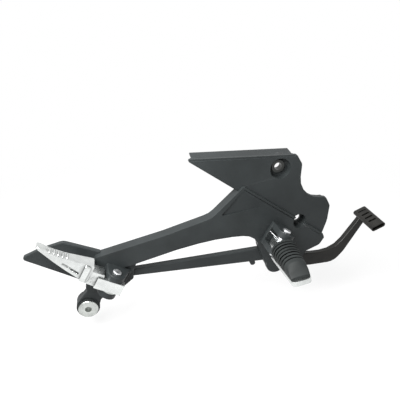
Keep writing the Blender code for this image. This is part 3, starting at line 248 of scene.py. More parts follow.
class HangerStudio(bpy.types.PropertyGroup):
    """Camera, lamps and floor."""

    lens: bpy.props.FloatProperty(name="Lens", description="Camera lens in millimetres", default=40.5)
    distance: bpy.props.FloatProperty(
        name="Distance", description="Camera to object", unit="LENGTH", default=0.607)
    azimuth: bpy.props.FloatProperty(
        name="Azimuth", description="Camera's turn round the object",
        unit="ROTATION", default=math.radians(-11.8))
    elevation: bpy.props.FloatProperty(
        name="Elevation", description="Camera's height above the horizon",
        unit="ROTATION", default=math.radians(26.1))
    key: bpy.props.FloatProperty(name="Key", description="Power of the main lamp", default=12.0)
    key_size: bpy.props.FloatProperty(
        name="Key Size", description="Side of the main lamp", unit="LENGTH", default=0.4)
    key_place: bpy.props.FloatVectorProperty(
        name="Key Place", description="Place of the main lamp",
        subtype="TRANSLATION", size=3, default=(-0.36, -0.25, 0.34))
    fill: bpy.props.FloatProperty(name="Fill", description="Power of the lamp at the side", default=0.8)
    fill_size: bpy.props.FloatProperty(
        name="Fill Size", description="Side of the lamp at the side", unit="LENGTH", default=0.7)
    fill_place: bpy.props.FloatVectorProperty(
        name="Fill Place", description="Place of the lamp at the side",
        subtype="TRANSLATION", size=3, default=(0.75, -0.60, 0.45))
    back: bpy.props.FloatProperty(name="Back", description="Power of the lamp behind", default=6.0)
    back_size: bpy.props.FloatProperty(
        name="Back Size", description="Side of the lamp behind", unit="LENGTH", default=0.6)
    back_place: bpy.props.FloatVectorProperty(
        name="Back Place", description="Place of the lamp behind",
        subtype="TRANSLATION", size=3, default=(0.25, 0.75, 0.55))
    sky: bpy.props.FloatProperty(name="Sky", description="Light from all round", default=0.22)
    floor_drop: bpy.props.FloatProperty(
        name="Floor Drop", description="Floor's distance under the object", unit="LENGTH", default=0.030)
    floor_size: bpy.props.FloatProperty(
        name="Floor Size", description="Side of the floor", unit="LENGTH", default=40.0)
    bounce: bpy.props.FloatProperty(
        name="Bounce", description="Grey of the floor in the light that it throws on the object",
        subtype="FACTOR", min=0.0, max=1.0, default=0.31)
    paper: bpy.props.FloatProperty(
        name="Paper", description="Grey of the floor's matte part where it is seen",
        subtype="FACTOR", min=0.0, max=1.0, default=0.9)
    whiteness: bpy.props.FloatProperty(
        name="Whiteness", description="Share of plain white in the floor under the object",
        subtype="FACTOR", min=0.0, max=1.0, default=0.8)
    shadow_near: bpy.props.FloatProperty(
        name="Shadow Near", description="Distance from the upper bolt within which the shadow is kept whole",
        unit="LENGTH", default=0.40)
    shadow_far: bpy.props.FloatProperty(
        name="Shadow Far", description="Distance from the upper bolt past which the floor is plain white",
        unit="LENGTH", default=0.80)


class Recipe:
    """Adds nodes to one material, from its coordinates to its shader."""

    def __init__(self, name):
        self.material = bpy.data.materials.new(name)
        self.material.use_nodes = True
        self.tree = self.material.node_tree
        self.shader = self.tree.nodes["Principled BSDF"]
        self.coordinates = self.tree.nodes.new("ShaderNodeTexCoord").outputs["Object"]

    def node(self, kind, **values):
        """A new node with its settings."""
        made = self.tree.nodes.new(kind)
        for key, value in values.items():
            setattr(made, key, value)
        return made

    def link(self, start, end):
        self.tree.links.new(start, end)

    def constant(self, socket, value):
        """A value that is the same all over, on the shader's own socket."""
        self.shader.inputs[socket].default_value = value

    def stored(self, name):
        """A value stored on the mesh's points."""
        return self.node("ShaderNodeAttribute", attribute_name=name).outputs["Fac"]

    def moved(self, centre, scale=(1.0, 1.0, 1.0)):
        """Coordinates with their origin on a piece."""
        mapping = self.node("ShaderNodeMapping")
        mapping.inputs["Location"].default_value = [-c * s for c, s in zip(centre, scale)]
        mapping.inputs["Scale"].default_value = scale
        self.link(self.coordinates, mapping.inputs["Vector"])
        return mapping.outputs["Vector"]

    def noise(self, scale, detail=4.0, source=None, roughness=0.55):
        """Even noise over the piece."""
        made = self.node("ShaderNodeTexNoise")
        made.inputs["Scale"].default_value = scale
        made.inputs["Detail"].default_value = detail
        made.inputs["Roughness"].default_value = roughness
        self.link(source or self.coordinates, made.inputs["Vector"])
        return made.outputs["Fac"]

    def rings(self, centre, scale):
        """Fine turning marks round an axis along Y."""
        made = self.node("ShaderNodeTexWave", wave_type="RINGS", rings_direction="Y")
        made.inputs["Scale"].default_value = scale
        made.inputs["Distortion"].default_value = 1.2
        made.inputs["Detail"].default_value = 2.0
        self.link(self.moved(centre), made.inputs["Vector"])
        return made.outputs["Fac"]

    def ranged(self, factor, low, high, start=0.3, end=0.7):
        """A factor's span from start to end, spread from low to high."""
        made = self.node("ShaderNodeMapRange", clamp=True)
        for socket, value in zip(("From Min", "From Max", "To Min", "To Max"), (start, end, low, high)):
            made.inputs[socket].default_value = value
        self.link(factor, made.inputs["Value"])
        return made.outputs["Result"]

    def colours(self, factor, dark, light, start=0.35, end=0.65):
        """A base colour that runs from dark to light with a factor."""
        ramp = self.node("ShaderNodeValToRGB")
        first, last = ramp.color_ramp.elements
        first.position, first.color = start, (*dark, 1.0)
        last.position, last.color = end, (*light, 1.0)
        self.link(factor, ramp.inputs["Fac"])
        self.link(ramp.outputs["Color"], self.shader.inputs["Base Color"])
        return ramp.outputs["Color"]

    def paint_shade(self, unshaded, share, dark):
        """Paints shade: mixes a dark colour into the unshaded one by a share."""
        shade = self.node("ShaderNodeMix", data_type="RGBA")
        shade.inputs["B"].default_value = (*dark, 1.0)
        self.link(share, shade.inputs["Factor"])
        self.link(unshaded, shade.inputs["A"])
        self.link(shade.outputs["Result"], self.shader.inputs["Base Color"])

    def roughness(self, value):
        self.link(value, self.shader.inputs["Roughness"])

    def bump(self, height, depth, strength):
        """Adds a height layer, its depth in metres, over the layers before it."""
        normal = self.shader.inputs["Normal"]
        made = self.node("ShaderNodeBump")
        made.inputs["Distance"].default_value = depth
        made.inputs["Strength"].default_value = strength
        self.link(height, made.inputs["Height"])
        if normal.is_linked:
            self.link(normal.links[0].from_socket, made.inputs["Normal"])
        self.link(made.outputs["Normal"], normal)


def toned(colour, share):
    """A colour made darker or lighter by a share."""
    return tuple(min(1.0, channel * share) for channel in colour)


def casting_paint(colour):
    """Satin black paint with the soft orange peel and faint dust of a painted casting."""
    recipe = Recipe("casting_paint")
    broad = recipe.noise(scale=22.0, detail=5.0)
    peel = recipe.noise(scale=620.0, detail=2.0)
    sand = recipe.noise(scale=1900.0, detail=3.0)
    recipe.colours(broad, toned(colour, 0.80), toned(colour, 1.25), start=0.30, end=0.72)
    recipe.roughness(recipe.ranged(broad, low=0.40, high=0.52))
    recipe.bump(peel, depth=0.00012, strength=0.55)
    recipe.bump(sand, depth=0.00005, strength=0.40)
    recipe.constant("Specular IOR Level", 0.22)
    return recipe.material


def pedal_coat(colour):
    """Smooth black coat, rubbed a little along the lever."""
    recipe = Recipe("pedal_coat")
    smear = recipe.noise(scale=55.0, detail=4.0, source=recipe.moved(UPPER_BOLT, (1.0, 1.0, 2.2)))
    scuff = recipe.noise(scale=900.0, detail=2.0, source=recipe.moved(UPPER_BOLT, (0.25, 1.0, 1.0)))
    recipe.colours(smear, toned(colour, 0.75), toned(colour, 1.55), start=0.32, end=0.70)
    recipe.roughness(recipe.ranged(smear, low=0.30, high=0.44))
    recipe.bump(scuff, depth=0.00006, strength=0.35)
    recipe.constant("Specular IOR Level", 0.22)
    return recipe.material


def moulded_rubber(colour):
    """Matte rubber with a fine moulded grain, greyed patches of wear, and painted shade in the grooves."""
    recipe = Recipe("moulded_rubber")
    gloss = 0.22
    patch = recipe.noise(scale=48.0, detail=5.0)
    grain = recipe.noise(scale=1500.0, detail=2.0)
    groove = recipe.stored("groove")
    worn = recipe.colours(patch, toned(colour, 0.85), toned(colour, 1.50), start=0.38, end=0.75)
    # The grooves are painted near-black as shade, and their gloss is turned down there too.
    recipe.paint_shade(worn, groove, toned(colour, 0.06))
    recipe.constant("Specular IOR Level", gloss)
    dulled = recipe.ranged(groove, low=gloss, high=0.0, start=0.0, end=1.0)
    recipe.link(dulled, recipe.shader.inputs["Specular IOR Level"])
    recipe.roughness(recipe.ranged(patch, low=0.58, high=0.76))
    recipe.bump(grain, depth=0.00010, strength=0.55)
    recipe.bump(patch, depth=0.00030, strength=0.25)
    return recipe.material


def bare_aluminium(colour):
    """Tumbled cast aluminium: soft grain, cloudy tone, and painted shade in the recesses."""
    recipe = Recipe("bare_aluminium")
    cloud = recipe.noise(scale=75.0, detail=6.0)
    grain = recipe.noise(scale=1400.0, detail=3.0)
    unshaded = recipe.colours(cloud, toned(colour, 0.86), toned(colour, 1.06), start=0.30, end=0.66)
    # The recesses are painted dark as shade, by the share of each point's surroundings that the piece closes
    # off.
    closed = recipe.ranged(recipe.stored("recess"), low=0.0, high=1.0, start=0.10, end=0.60)
    recipe.paint_shade(unshaded, closed, toned(colour, 0.10))
    recipe.roughness(recipe.ranged(cloud, low=0.20, high=0.32))
    recipe.bump(grain, depth=0.00001, strength=0.15)
    recipe.constant("Metallic", 1.0)
    return recipe.material


def turned_steel(name, colour, centre, lines=420.0):
    """Lathe-turned steel with rings round its axis."""
    recipe = Recipe(name)
    marks = recipe.rings(centre, lines)
    cloud = recipe.noise(scale=120.0, detail=4.0)
    recipe.colours(cloud, toned(colour, 0.82), toned(colour, 1.10), start=0.32, end=0.68)
    recipe.roughness(recipe.ranged(cloud, low=0.24, high=0.38))
    recipe.bump(marks, depth=0.00004, strength=0.35)
    recipe.constant("Metallic", 1.0)
    return recipe.material


def bright_zinc(colour):
    """Zinc plate with a faint uneven bloom."""
    recipe = Recipe("bright_zinc")
    bloom = recipe.noise(scale=260.0, detail=5.0)
    recipe.colours(bloom, toned(colour, 0.80), toned(colour, 1.12), start=0.34, end=0.66)
    recipe.roughness(recipe.ranged(bloom, low=0.36, high=0.52))
    recipe.bump(bloom, depth=0.00002, strength=0.25)
    recipe.constant("Metallic", 1.0)
    return recipe.material


def bearing_bronze(colour):
    """Porous sintered bronze."""
    recipe = Recipe("bearing_bronze")
    pores = recipe.noise(scale=1700.0, detail=3.0)
    recipe.colours(pores, toned(colour, 0.70), toned(colour, 1.15))
    recipe.roughness(recipe.ranged(pores, low=0.30, high=0.50))
    recipe.bump(pores, depth=0.00005, strength=0.40)
    recipe.constant("Metallic", 1.0)
    return recipe.material


def finish_of(name):
    """The finished material of that name, made once from the scene's colours."""
    if name in bpy.data.materials:
        return bpy.data.materials[name]
    colours = bpy.context.scene.hanger_finishes
    makers = {
        "casting_paint": lambda: casting_paint(colours.casting),
        "pedal_coat": lambda: pedal_coat(colours.pedal),
        "moulded_rubber": lambda: moulded_rubber(colours.rubber),
        "bare_aluminium": lambda: bare_aluminium(colours.aluminium),
        "collar_steel": lambda: turned_steel("collar_steel", colours.steel, middle("muffler_collar")),
        "sleeve_steel": lambda: turned_steel("sleeve_steel", toned(colours.steel, 0.12), UPPER_BOLT),
        "plain_steel": lambda: turned_steel("plain_steel", colours.steel, middle("pillion_detent_plate")),
        "bright_zinc": lambda: bright_zinc(colours.zinc),
        "bearing_bronze": lambda: bearing_bronze(colours.bronze),
    }
    return makers[name]()


def middle(node):
    """The middle of a CAD node's box."""
    low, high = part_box(node)
    return (low + high) / 2


def frame_at(origin, along, up):
    """A frame with its first axis along and its last axis up."""
    place = Matrix((along, up.cross(along), up)).transposed().to_4x4()
    place.translation = origin
    return place


def on_circle(radius, angle):
    """Two coordinates of a point on a circle."""
    return radius * math.cos(angle), radius * math.sin(angle)


def linked(name, mesh):
    """A mesh as an object of the scene."""
    made = bpy.data.objects.new(name, mesh)
    bpy.context.scene.collection.objects.link(made)
    return made


def applied(source, name):
    """The evaluated piece as a plain mesh object, with the source removed."""
    bpy.context.view_layer.update()
    graph = bpy.context.evaluated_depsgraph_get()
    mesh = bpy.data.meshes.new_from_object(source.evaluated_get(graph))
    old = source.data
    bpy.data.objects.remove(source)
    bpy.data.meshes.remove(old)
    mesh.name = name
    return linked(name, mesh)


def smoothed(mesh, angle):
    """Smooth faces, with edges sharper than the angle kept."""
    for face in mesh.polygons:
        face.use_smooth = True
    mesh.set_sharp_from_angle(angle=math.radians(angle))


def dressed(node, name, body, finish, slot, angle=CAST_CREASE):
    """A merged, smooth-shaded copy of a rigid CAD node with its finish."""
    mesh = frame["nodes"][node].data.copy()
    work = bmesh.new()
    work.from_mesh(mesh)
    bmesh.ops.remove_doubles(work, verts=work.verts, dist=SAME_POINT)
    bmesh.ops.dissolve_limit(work, angle_limit=math.radians(FLAT_ANGLE), verts=work.verts, edges=work.edges)
    work.to_mesh(mesh)
    work.free()
    smoothed(mesh, angle)
    mesh.materials.clear()
    mesh.materials.append(finish_of(finish))
    piece = linked(name, mesh)
    weighted = piece.modifiers.new("even_shading", "WEIGHTED_NORMAL")
    weighted.keep_sharp = True
    weighted.weight = FACE_WEIGHT
    piece = applied(piece, name)
    return placed(piece, body, slot, node)


def divided(mesh, longest, rounds=6):
    """Halves a mesh's longer edges a few times over."""
    work = bmesh.new()
    work.from_mesh(mesh)
    bmesh.ops.triangulate(work, faces=work.faces)
    for _ in range(rounds):
        lengthy = [edge for edge in work.edges if edge.calc_length() > longest]
        bmesh.ops.subdivide_edges(work, edges=lengthy, cuts=1)
        bmesh.ops.triangulate(work, faces=work.faces, quad_method="SHORT_EDGE", ngon_method="BEAUTY")
    work.to_mesh(mesh)
    work.free()


def sheltered(mesh, reach, rays=32):
    """Stores how much of the space before each point is closed off by the piece itself, as the share that
    paints shade into the recesses.
    """
    work = bmesh.new()
    work.from_mesh(mesh)
    tree = BVHTree.FromBMesh(work)
    shares = []
    for point in work.verts:
        start = point.co + point.normal * reach * SHELTER_LIFT
        turn = point.normal.to_track_quat("Z", "Y")
        met = 0
        for index in range(rays):
            rise = (index + 0.5) / rays
            angle = index * math.pi * (3.0 - math.sqrt(5.0))
            flat = math.sqrt(1.0 - rise * rise)
            ray = turn @ Vector((*on_circle(flat, angle), rise))
            met += tree.ray_cast(start, ray, reach)[0] is not None
        shares.append(met / rays)
    work.free()
    mesh.attributes.new("recess", "FLOAT", "POINT").data.foreach_set("value", shares)


def placed(piece, body, slot, *nodes):
    """Joins a piece to its body in place of its CAD nodes."""
    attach(piece, body)
    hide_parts(*nodes)
    return piece


def coated(finish, *nodes):
    """Gives CAD nodes that stay as they are their finish."""
    for node in nodes:
        mesh = frame["nodes"][node].data
        mesh.materials.clear()
        mesh.materials.append(finish_of(finish))


def moulded(name, work, finish, place):
    """A piece from a closed shell, with its faces turned outwards."""
    bmesh.ops.recalc_face_normals(work, faces=work.faces)
    work.transform(place)
    mesh = bpy.data.meshes.new(name)
    work.to_mesh(mesh)
    work.free()
    smoothed(mesh, MOULDED_CREASE)
    mesh.materials.append(finish_of(finish))
    return linked(name, mesh)


def joined(work, line, following):
    """Faces between two rings of points."""
    for index, point in enumerate(line):
        beside = (index + 1) % len(line)
        work.faces.new((point, line[beside], following[beside], following[index]))


def skinned(name, rows, finish, place):
    """Closed sections joined into one smooth body with flat ends."""
    work = bmesh.new()
    lines = [[work.verts.new(point) for point in row] for row in rows]
    for line, following in zip(lines, lines[1:]):
        joined(work, line, following)
    work.faces.new(lines[0])
    work.faces.new(lines[-1])
    return moulded(name, work, finish, place)


def lathed(name, profile, finish, place, segments=72):
    """A closed profile of radius and height turned about the place's last axis."""
    work = bmesh.new()
    rings = []
    for radius, height in profile:
        angles = [2 * math.pi * index / segments for index in range(segments)]
        rings.append([work.verts.new((*on_circle(radius, angle), height)) for angle in angles])
    for ring, following in zip(rings, rings[1:] + rings[:1]):
        joined(work, ring, following)
    return moulded(name, work, finish, place)


def softened(profile, radius, steps=4):
    """A closed profile with its corners rounded."""
    points = []
    count = len(profile)
    for index in range(count):
        corner = Vector(profile[index])
        before = Vector(profile[index - 1]) - corner
        after = Vector(profile[(index + 1) % count]) - corner
        reach = min(radius, before.length / 3, after.length / 3)
        start = corner + before.normalized() * reach
        end = corner + after.normalized() * reach
        for step in range(steps + 1):
            share = step / steps
            points.append(start * (1 - share) ** 2 + corner * 2 * share * (1 - share) + end * share ** 2)
    return points


def wire_tree():
    """Node tree: a chain of edges becomes a round wire with closed ends."""
    name = "wound_wire"
    if name in bpy.data.node_groups:
        return bpy.data.node_groups[name]
    tree = bpy.data.node_groups.new(name, "GeometryNodeTree")
    face = tree.interface
    face.new_socket("Geometry", in_out="INPUT", socket_type="NodeSocketGeometry")
    face.new_socket("Wire Diameter", in_out="INPUT", socket_type="NodeSocketFloat")
    face.new_socket("Sides", in_out="INPUT", socket_type="NodeSocketInt")
    face.new_socket("Finish", in_out="INPUT", socket_type="NodeSocketMaterial")
    face.new_socket("Geometry", in_out="OUTPUT", socket_type="NodeSocketGeometry")
    nodes = tree.nodes
    entry = nodes.new("NodeGroupInput")
    path = nodes.new("GeometryNodeMeshToCurve")
    half = nodes.new("ShaderNodeMath")
    half.operation = "MULTIPLY"
    half.inputs[1].default_value = 0.5
    circle = nodes.new("GeometryNodeCurvePrimitiveCircle")
    sweep = nodes.new("GeometryNodeCurveToMesh")
    sweep.inputs["Fill Caps"].default_value = True
    smooth = nodes.new("GeometryNodeSetShadeSmooth")
    real = nodes.new("GeometryNodeRealizeInstances")
    paint = nodes.new("GeometryNodeSetMaterial")
    leave = nodes.new("NodeGroupOutput")
    join = tree.links.new
    join(entry.outputs["Geometry"], path.inputs["Mesh"])
    join(entry.outputs["Wire Diameter"], half.inputs[0])
    join(half.outputs[0], circle.inputs["Radius"])
    join(entry.outputs["Sides"], circle.inputs["Resolution"])
    join(path.outputs["Curve"], sweep.inputs["Curve"])
    join(circle.outputs["Curve"], sweep.inputs["Profile Curve"])
    join(sweep.outputs["Mesh"], smooth.inputs["Geometry"])
    join(smooth.outputs["Geometry"], real.inputs["Geometry"])
    join(real.outputs["Geometry"], paint.inputs["Geometry"])
    join(entry.outputs["Finish"], paint.inputs["Material"])
    join(paint.outputs["Geometry"], leave.inputs["Geometry"])
    return tree


def socket_of(tree, name):
    """The identifier of a tree's input."""
    for item in tree.interface.items_tree:
        if item.name == name and item.in_out == "INPUT":
            return item.identifier
    raise KeyError(name)


def wound(name, points, diameter, finish, place):
    """A wire along points, made by the wire tree."""
    mesh = bpy.data.meshes.new(name + "_path")
    edges = [(index, index + 1) for index in range(len(points) - 1)]
    mesh.from_pydata([place @ point for point in points], edges, [])
    source = linked(name + "_path", mesh)
    tree = wire_tree()
    modifier = source.modifiers.new("wire", "NODES")
    modifier.node_group = tree
    modifier[socket_of(tree, "Wire Diameter")] = diameter
    modifier[socket_of(tree, "Sides")] = bpy.context.scene.hanger_springs.sides
    modifier[socket_of(tree, "Finish")] = finish_of(finish)
    piece = applied(source, name)
    work = bmesh.new()
    work.from_mesh(piece.data)
    bmesh.ops.recalc_face_normals(work, faces=work.faces)
    work.to_mesh(piece.data)
    work.free()
    return piece


class HANGER_OT_casting(bpy.types.Operator):
    """Dresses the cast bracket and its frame-bolt sleeve"""

    bl_idname = "hanger.casting"
    bl_label = "Casting"

    def execute(self, context):
        dressed("hanger_bracket", "bracket_casting", "hanger", "casting_paint", "cast")
        dressed("upper_mount_sleeve", "frame_bolt_sleeve", "hanger", "sleeve_steel", "dark_steel")
        return {"FINISHED"}


class HANGER_OT_muffler_mount(bpy.types.Operator):
    """Builds the rubber bush and dresses the steel collar through it"""

    bl_idname = "hanger.muffler_mount"
    bl_label = "Muffler Mount"

    def execute(self, context):
        sizes = context.scene.hanger_rubber
        low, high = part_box("muffler_grommet")
        centre = middle("muffler_grommet")
        flange = (high.x - low.x) / 2
        outer = -low.y
        inner = -high.y
        lip = sizes.bush_lip
        body = sizes.bush_body
        bore = sizes.bush_bore
        profile = (
            (bore, outer), (flange, outer), (flange, outer - lip), (body, outer - lip),
            (body, inner + lip), (flange, inner + lip), (flange, inner), (bore, inner),
        )
        place = Matrix.Translation((centre.x, 0.0, centre.z)) @ Matrix.Rotation(math.pi / 2, 4, "X")
        bush = lathed("muffler_bush", softened(profile, sizes.bush_corner), "moulded_rubber", place)
        placed(bush, "hanger", "rubber", "muffler_grommet")
        dressed("muffler_collar", "muffler_bolt_collar", "hanger", "collar_steel", "steel")
        return {"FINISHED"}


class HANGER_OT_rider_peg(bpy.types.Operator):
    """Builds the ribbed rubber pad and dresses the aluminium core"""

    bl_idname = "hanger.rider_peg"
    bl_label = "Rider Peg"

    def groove_at(self, sizes, x):
        """Depth of the groove profile at a place along the pad, with soft lips."""
        for index in range(sizes.grooves):
            across = (x - sizes.first_groove - index * sizes.pitch) / sizes.groove_width
            if 0.0 < across < 1.0:
                return sizes.groove_depth * min(1.0, LIP_STEEPNESS * math.sin(math.pi * across))
        return 0.0

    def section(self, sizes, x, around=40):
        """One arched section of the pad."""
        share = (x - sizes.start) / (sizes.end - sizes.start)
        slope = max(0.0, (x - sizes.slope_start) / (sizes.end - sizes.slope_start))
        soft = slope * slope * (3 - 2 * slope)
        ease = soft * SLOPE_EASE + slope * (1 - SLOPE_EASE)
        from_end = min(x - sizes.start, sizes.end - x)
        curl = max(0.0, sizes.edge - from_end)
        drawn = sizes.edge - math.sqrt(max(0.0, sizes.edge ** 2 - curl ** 2))
        depth = self.groove_at(sizes, x) + drawn
        half = (sizes.root_width + (sizes.tip_width - sizes.root_width) * share) / 2 - depth
        top = sizes.root_top + (sizes.tip_top - sizes.root_top) * share - depth
        top += (sizes.end_top - sizes.tip_top) * ease
        shoulder = min(sizes.foot + sizes.side, top - sizes.crown)
        points = [Vector((x, -half, sizes.foot)), Vector((x, half, sizes.foot))]
        for index in range(around + 1):
            angle = math.pi * index / around
            height = shoulder + (top - shoulder) * math.sin(angle)
            points.append(Vector((x, half * math.cos(angle), height)))
        return points

    def execute(self, context):
        sizes = context.scene.hanger_rubber
        length = sizes.end - sizes.start
        count = round(length / RIB_STEP)
        stations = [sizes.start + length * index / count for index in range(count + 1)]
        along = OUTWARD * math.cos(sizes.sweep) + STOWED_AXIS * math.sin(sizes.sweep)
        place = frame_at(RIDER_PIVOT, along, PIN_AXIS) @ Matrix.Rotation(sizes.roll, 4, "X")
        rows = [self.section(sizes, x) for x in stations]
        pad = skinned("rider_rubber_pad", rows, "moulded_rubber", place)
        grooves = pad.data.attributes.new("groove", "FLOAT", "POINT")
        inside = [float(self.groove_at(sizes, x) > 0.0) for x in stations]
        grooves.data.foreach_set("value", [share for share, row in zip(inside, rows) for _ in row])
        placed(pad, "rider_peg", "rubber", "rider_peg_rubber")
        dressed("rider_peg_core", "rider_core_bar", "rider_peg", "bare_aluminium", "aluminium")
        return {"FINISHED"}


class HANGER_OT_pillion_peg(bpy.types.Operator):
    """Dresses the bare aluminium pillion peg and its click plate and ball"""

    bl_idname = "hanger.pillion_peg"
    bl_label = "Pillion Peg"

    def execute(self, context):
        peg = dressed(
            "pillion_peg_body", "pillion_peg_bar", "pillion_peg", "bare_aluminium", "aluminium", PEG_CREASE)
        # Finer faces and a stored share for the painted shade in the peg's recesses.
        divided(peg.data, PEG_FACET)
        smoothed(peg.data, PEG_CREASE)
        sheltered(peg.data, SHELTER_REACH)
        dressed("pillion_detent_plate", "pillion_click_plate", "hanger", "plain_steel", "steel")
        dressed(
            "pillion_detent_ball", "pillion_click_ball", "pillion_peg", "plain_steel", "steel", BALL_CREASE)
        return {"FINISHED"}


class HANGER_OT_brake_pedal(bpy.types.Operator):
    """Dresses the brake lever, its slotted pad and its bearing"""

    bl_idname = "hanger.brake_pedal"
    bl_label = "Brake Pedal"

    def execute(self, context):
        dressed("brake_pedal_arm", "brake_lever", "brake_pedal", "pedal_coat", "black_steel")
        dressed("brake_pedal_pad", "brake_foot_pad", "brake_pedal", "pedal_coat", "black_steel")
        dressed("pedal_pivot_bush", "lever_bush", "brake_pedal", "bearing_bronze", "bronze")
        return {"FINISHED"}


class HANGER_OT_fasteners(bpy.types.Operator):
    """Dresses pins, clips, screws, bolts and washer"""

    bl_idname = "hanger.fasteners"
    bl_label = "Fasteners"

    def execute(self, context):
        dressed("rider_peg_pin", "rider_clevis_pin", "hanger", "bright_zinc", "zinc")
        dressed("pillion_peg_pin", "pillion_clevis_pin", "hanger", "bright_zinc", "zinc")
        dressed("spring_anchor_bolt", "spring_post", "hanger", "bright_zinc", "zinc")
        coated("bright_zinc", "rider_pad_screw_inner", "rider_pad_screw_outer")
        coated("bright_zinc", "pedal_pivot_bolt", "pedal_pivot_washer")
        coated("plain_steel", "rider_pin_clip", "pillion_pin_clip")
        return {"FINISHED"}


class HANGER_OT_springs(bpy.types.Operator):
    """Winds the peg's torsion spring, the pedal's return spring and the click spring"""

    bl_idname = "hanger.springs"
    bl_label = "Springs"

    def peg_spring(self, sizes):
        """The torsion spring round the rider peg's pin, with a leg on the clevis and one on the peg."""
        steps = sizes.turn_points
        coil = []
        for index in range(sizes.peg_turns * steps + 1):
            angle = 2 * math.pi * index / steps - math.pi / 2
            height = sizes.peg_low + sizes.peg_rise * index / steps
            coil.append(Vector((*on_circle(sizes.peg_radius, angle), height)))
        aside = Vector((-1.0, -sizes.splay, 0.0)) * sizes.base_leg
        outward = Vector((sizes.peg_leg, 0.0, 0.0))
        base = [coil[0] + aside * step / LEG_POINTS for step in range(LEG_POINTS, 0, -1)]
        leg = [coil[-1] + outward * step / LEG_POINTS for step in range(1, LEG_POINTS + 1)]
        place = frame_at(RIDER_PIVOT, OUTWARD, PIN_AXIS)
        spring = wound("rider_fold_spring", base + coil + leg, sizes.peg_wire, "bright_zinc", place)
        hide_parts("rider_peg_spring")
        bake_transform(spring)

    def return_spring(self, sizes):
        """The pedal's extension spring, hooked over a post at each end."""
        anchor = middle("spring_anchor_bolt")
        start = Vector((anchor.x, sizes.return_depth, anchor.z))
        aside, above = on_circle(sizes.tab_reach, sizes.tab_angle)
        end = Vector((PEDAL_PIVOT.x + aside, sizes.return_depth, PEDAL_PIVOT.z + above))
        run = end - start
        place = frame_at(start, run.normalized(), OUTWARD)
        first = (run.length - sizes.return_turns * sizes.return_pitch) / 2
        turn = 2 * math.pi - 2 * sizes.hook_opening
        steps = sizes.turn_points
        near_hook = []
        far_hook = []
        for index in range(steps + 1):
            angle = -sizes.hook_opening - turn * index / steps
            near_hook.append(Vector((*on_circle(sizes.hook, angle), 0.0)))
            across, up = on_circle(sizes.hook, math.pi + angle)
            far_hook.append(Vector((run.length + across, up, 0.0)))
        coil = []
        for index in range(sizes.return_turns * steps + 1):
            along = first + sizes.return_pitch * index / steps
            coil.append(Vector((along, *on_circle(sizes.return_radius, 2 * math.pi * index / steps))))
        points = near_hook + coil + far_hook
        spring = wound("pedal_lift_spring", points, sizes.return_wire, "bright_zinc", place)
        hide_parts("pedal_return_spring")
        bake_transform(spring)

    def click_spring(self, sizes):
        """The small spring under the click ball, as wide and high as its solid."""
        place = frame_at(PILLION_PIVOT, STOWED_AXIS, PIN_AXIS)
        inverse = place.inverted()
        corners = [inverse @ vert.co for vert in frame["nodes"]["pillion_detent_spring"].data.vertices]
        heights = [corner.z for corner in corners]
        reaches = [corner.x for corner in corners]
        floor = min(heights) + sizes.detent_wire / 2
        top = max(heights) - sizes.detent_wire / 2
        centre = (min(reaches) + max(reaches)) / 2
        radius = (max(reaches) - min(reaches) - sizes.detent_wire) / 2
        steps = sizes.detent_turns * sizes.turn_points
        points = []
        for index in range(steps + 1):
            angle = 2 * math.pi * index / sizes.turn_points
            height = floor + (top - floor) * index / steps
            along, across = on_circle(radius, angle)
            points.append(Vector((centre + along, across, height)))
        spring = wound("pillion_click_spring", points, sizes.detent_wire, "plain_steel", place)
        placed(spring, "pillion_peg", "steel", "pillion_detent_spring")

    def execute(self, context):
        sizes = context.scene.hanger_springs
        self.peg_spring(sizes)
        self.return_spring(sizes)
        self.click_spring(sizes)
        return {"FINISHED"}


def seen_directly(tree):
    """A factor that is one for camera, glossy and transmission rays."""
    path = tree.nodes.new("ShaderNodeLightPath")
    total = path.outputs["Is Camera Ray"]
    for name in ("Is Glossy Ray", "Is Transmission Ray"):
        larger = tree.nodes.new("ShaderNodeMath")
        larger.operation = "MAXIMUM"
        tree.links.new(total, larger.inputs[0])
        tree.links.new(path.outputs[name], larger.inputs[1])
        total = larger.outputs[0]
    return total


def mixed(tree, factor, first, second):
    """Two shaders mixed by a factor."""
    mix = tree.nodes.new("ShaderNodeMixShader")
    tree.links.new(factor, mix.inputs["Fac"])
    tree.links.new(first, mix.inputs[1])
    tree.links.new(second, mix.inputs[2])
    return mix.outputs[0]


def white_paper(studio):
    """Floor paper that looks white, keeps the shadow and throws little light back."""
    recipe = Recipe("white_paper")
    recipe.constant("Base Color", (studio.bounce, studio.bounce, studio.bounce, 1.0))
    recipe.constant("Roughness", 0.9)
    matte = recipe.node("ShaderNodeBsdfDiffuse")
    matte.inputs["Color"].default_value = (studio.paper, studio.paper, studio.paper, 1.0)
    white = recipe.node("ShaderNodeEmission")
    away = recipe.node("ShaderNodeVectorMath", operation="LENGTH")
    recipe.link(recipe.coordinates, away.inputs[0])
    share = recipe.ranged(
        away.outputs["Value"], low=studio.whiteness, high=1.0,
        start=studio.shadow_near, end=studio.shadow_far,
    )
    pale = mixed(recipe.tree, share, matte.outputs[0], white.outputs[0])
    surface = mixed(recipe.tree, seen_directly(recipe.tree), recipe.shader.outputs[0], pale)
    recipe.link(surface, recipe.tree.nodes["Material Output"].inputs["Surface"])
    return recipe.material


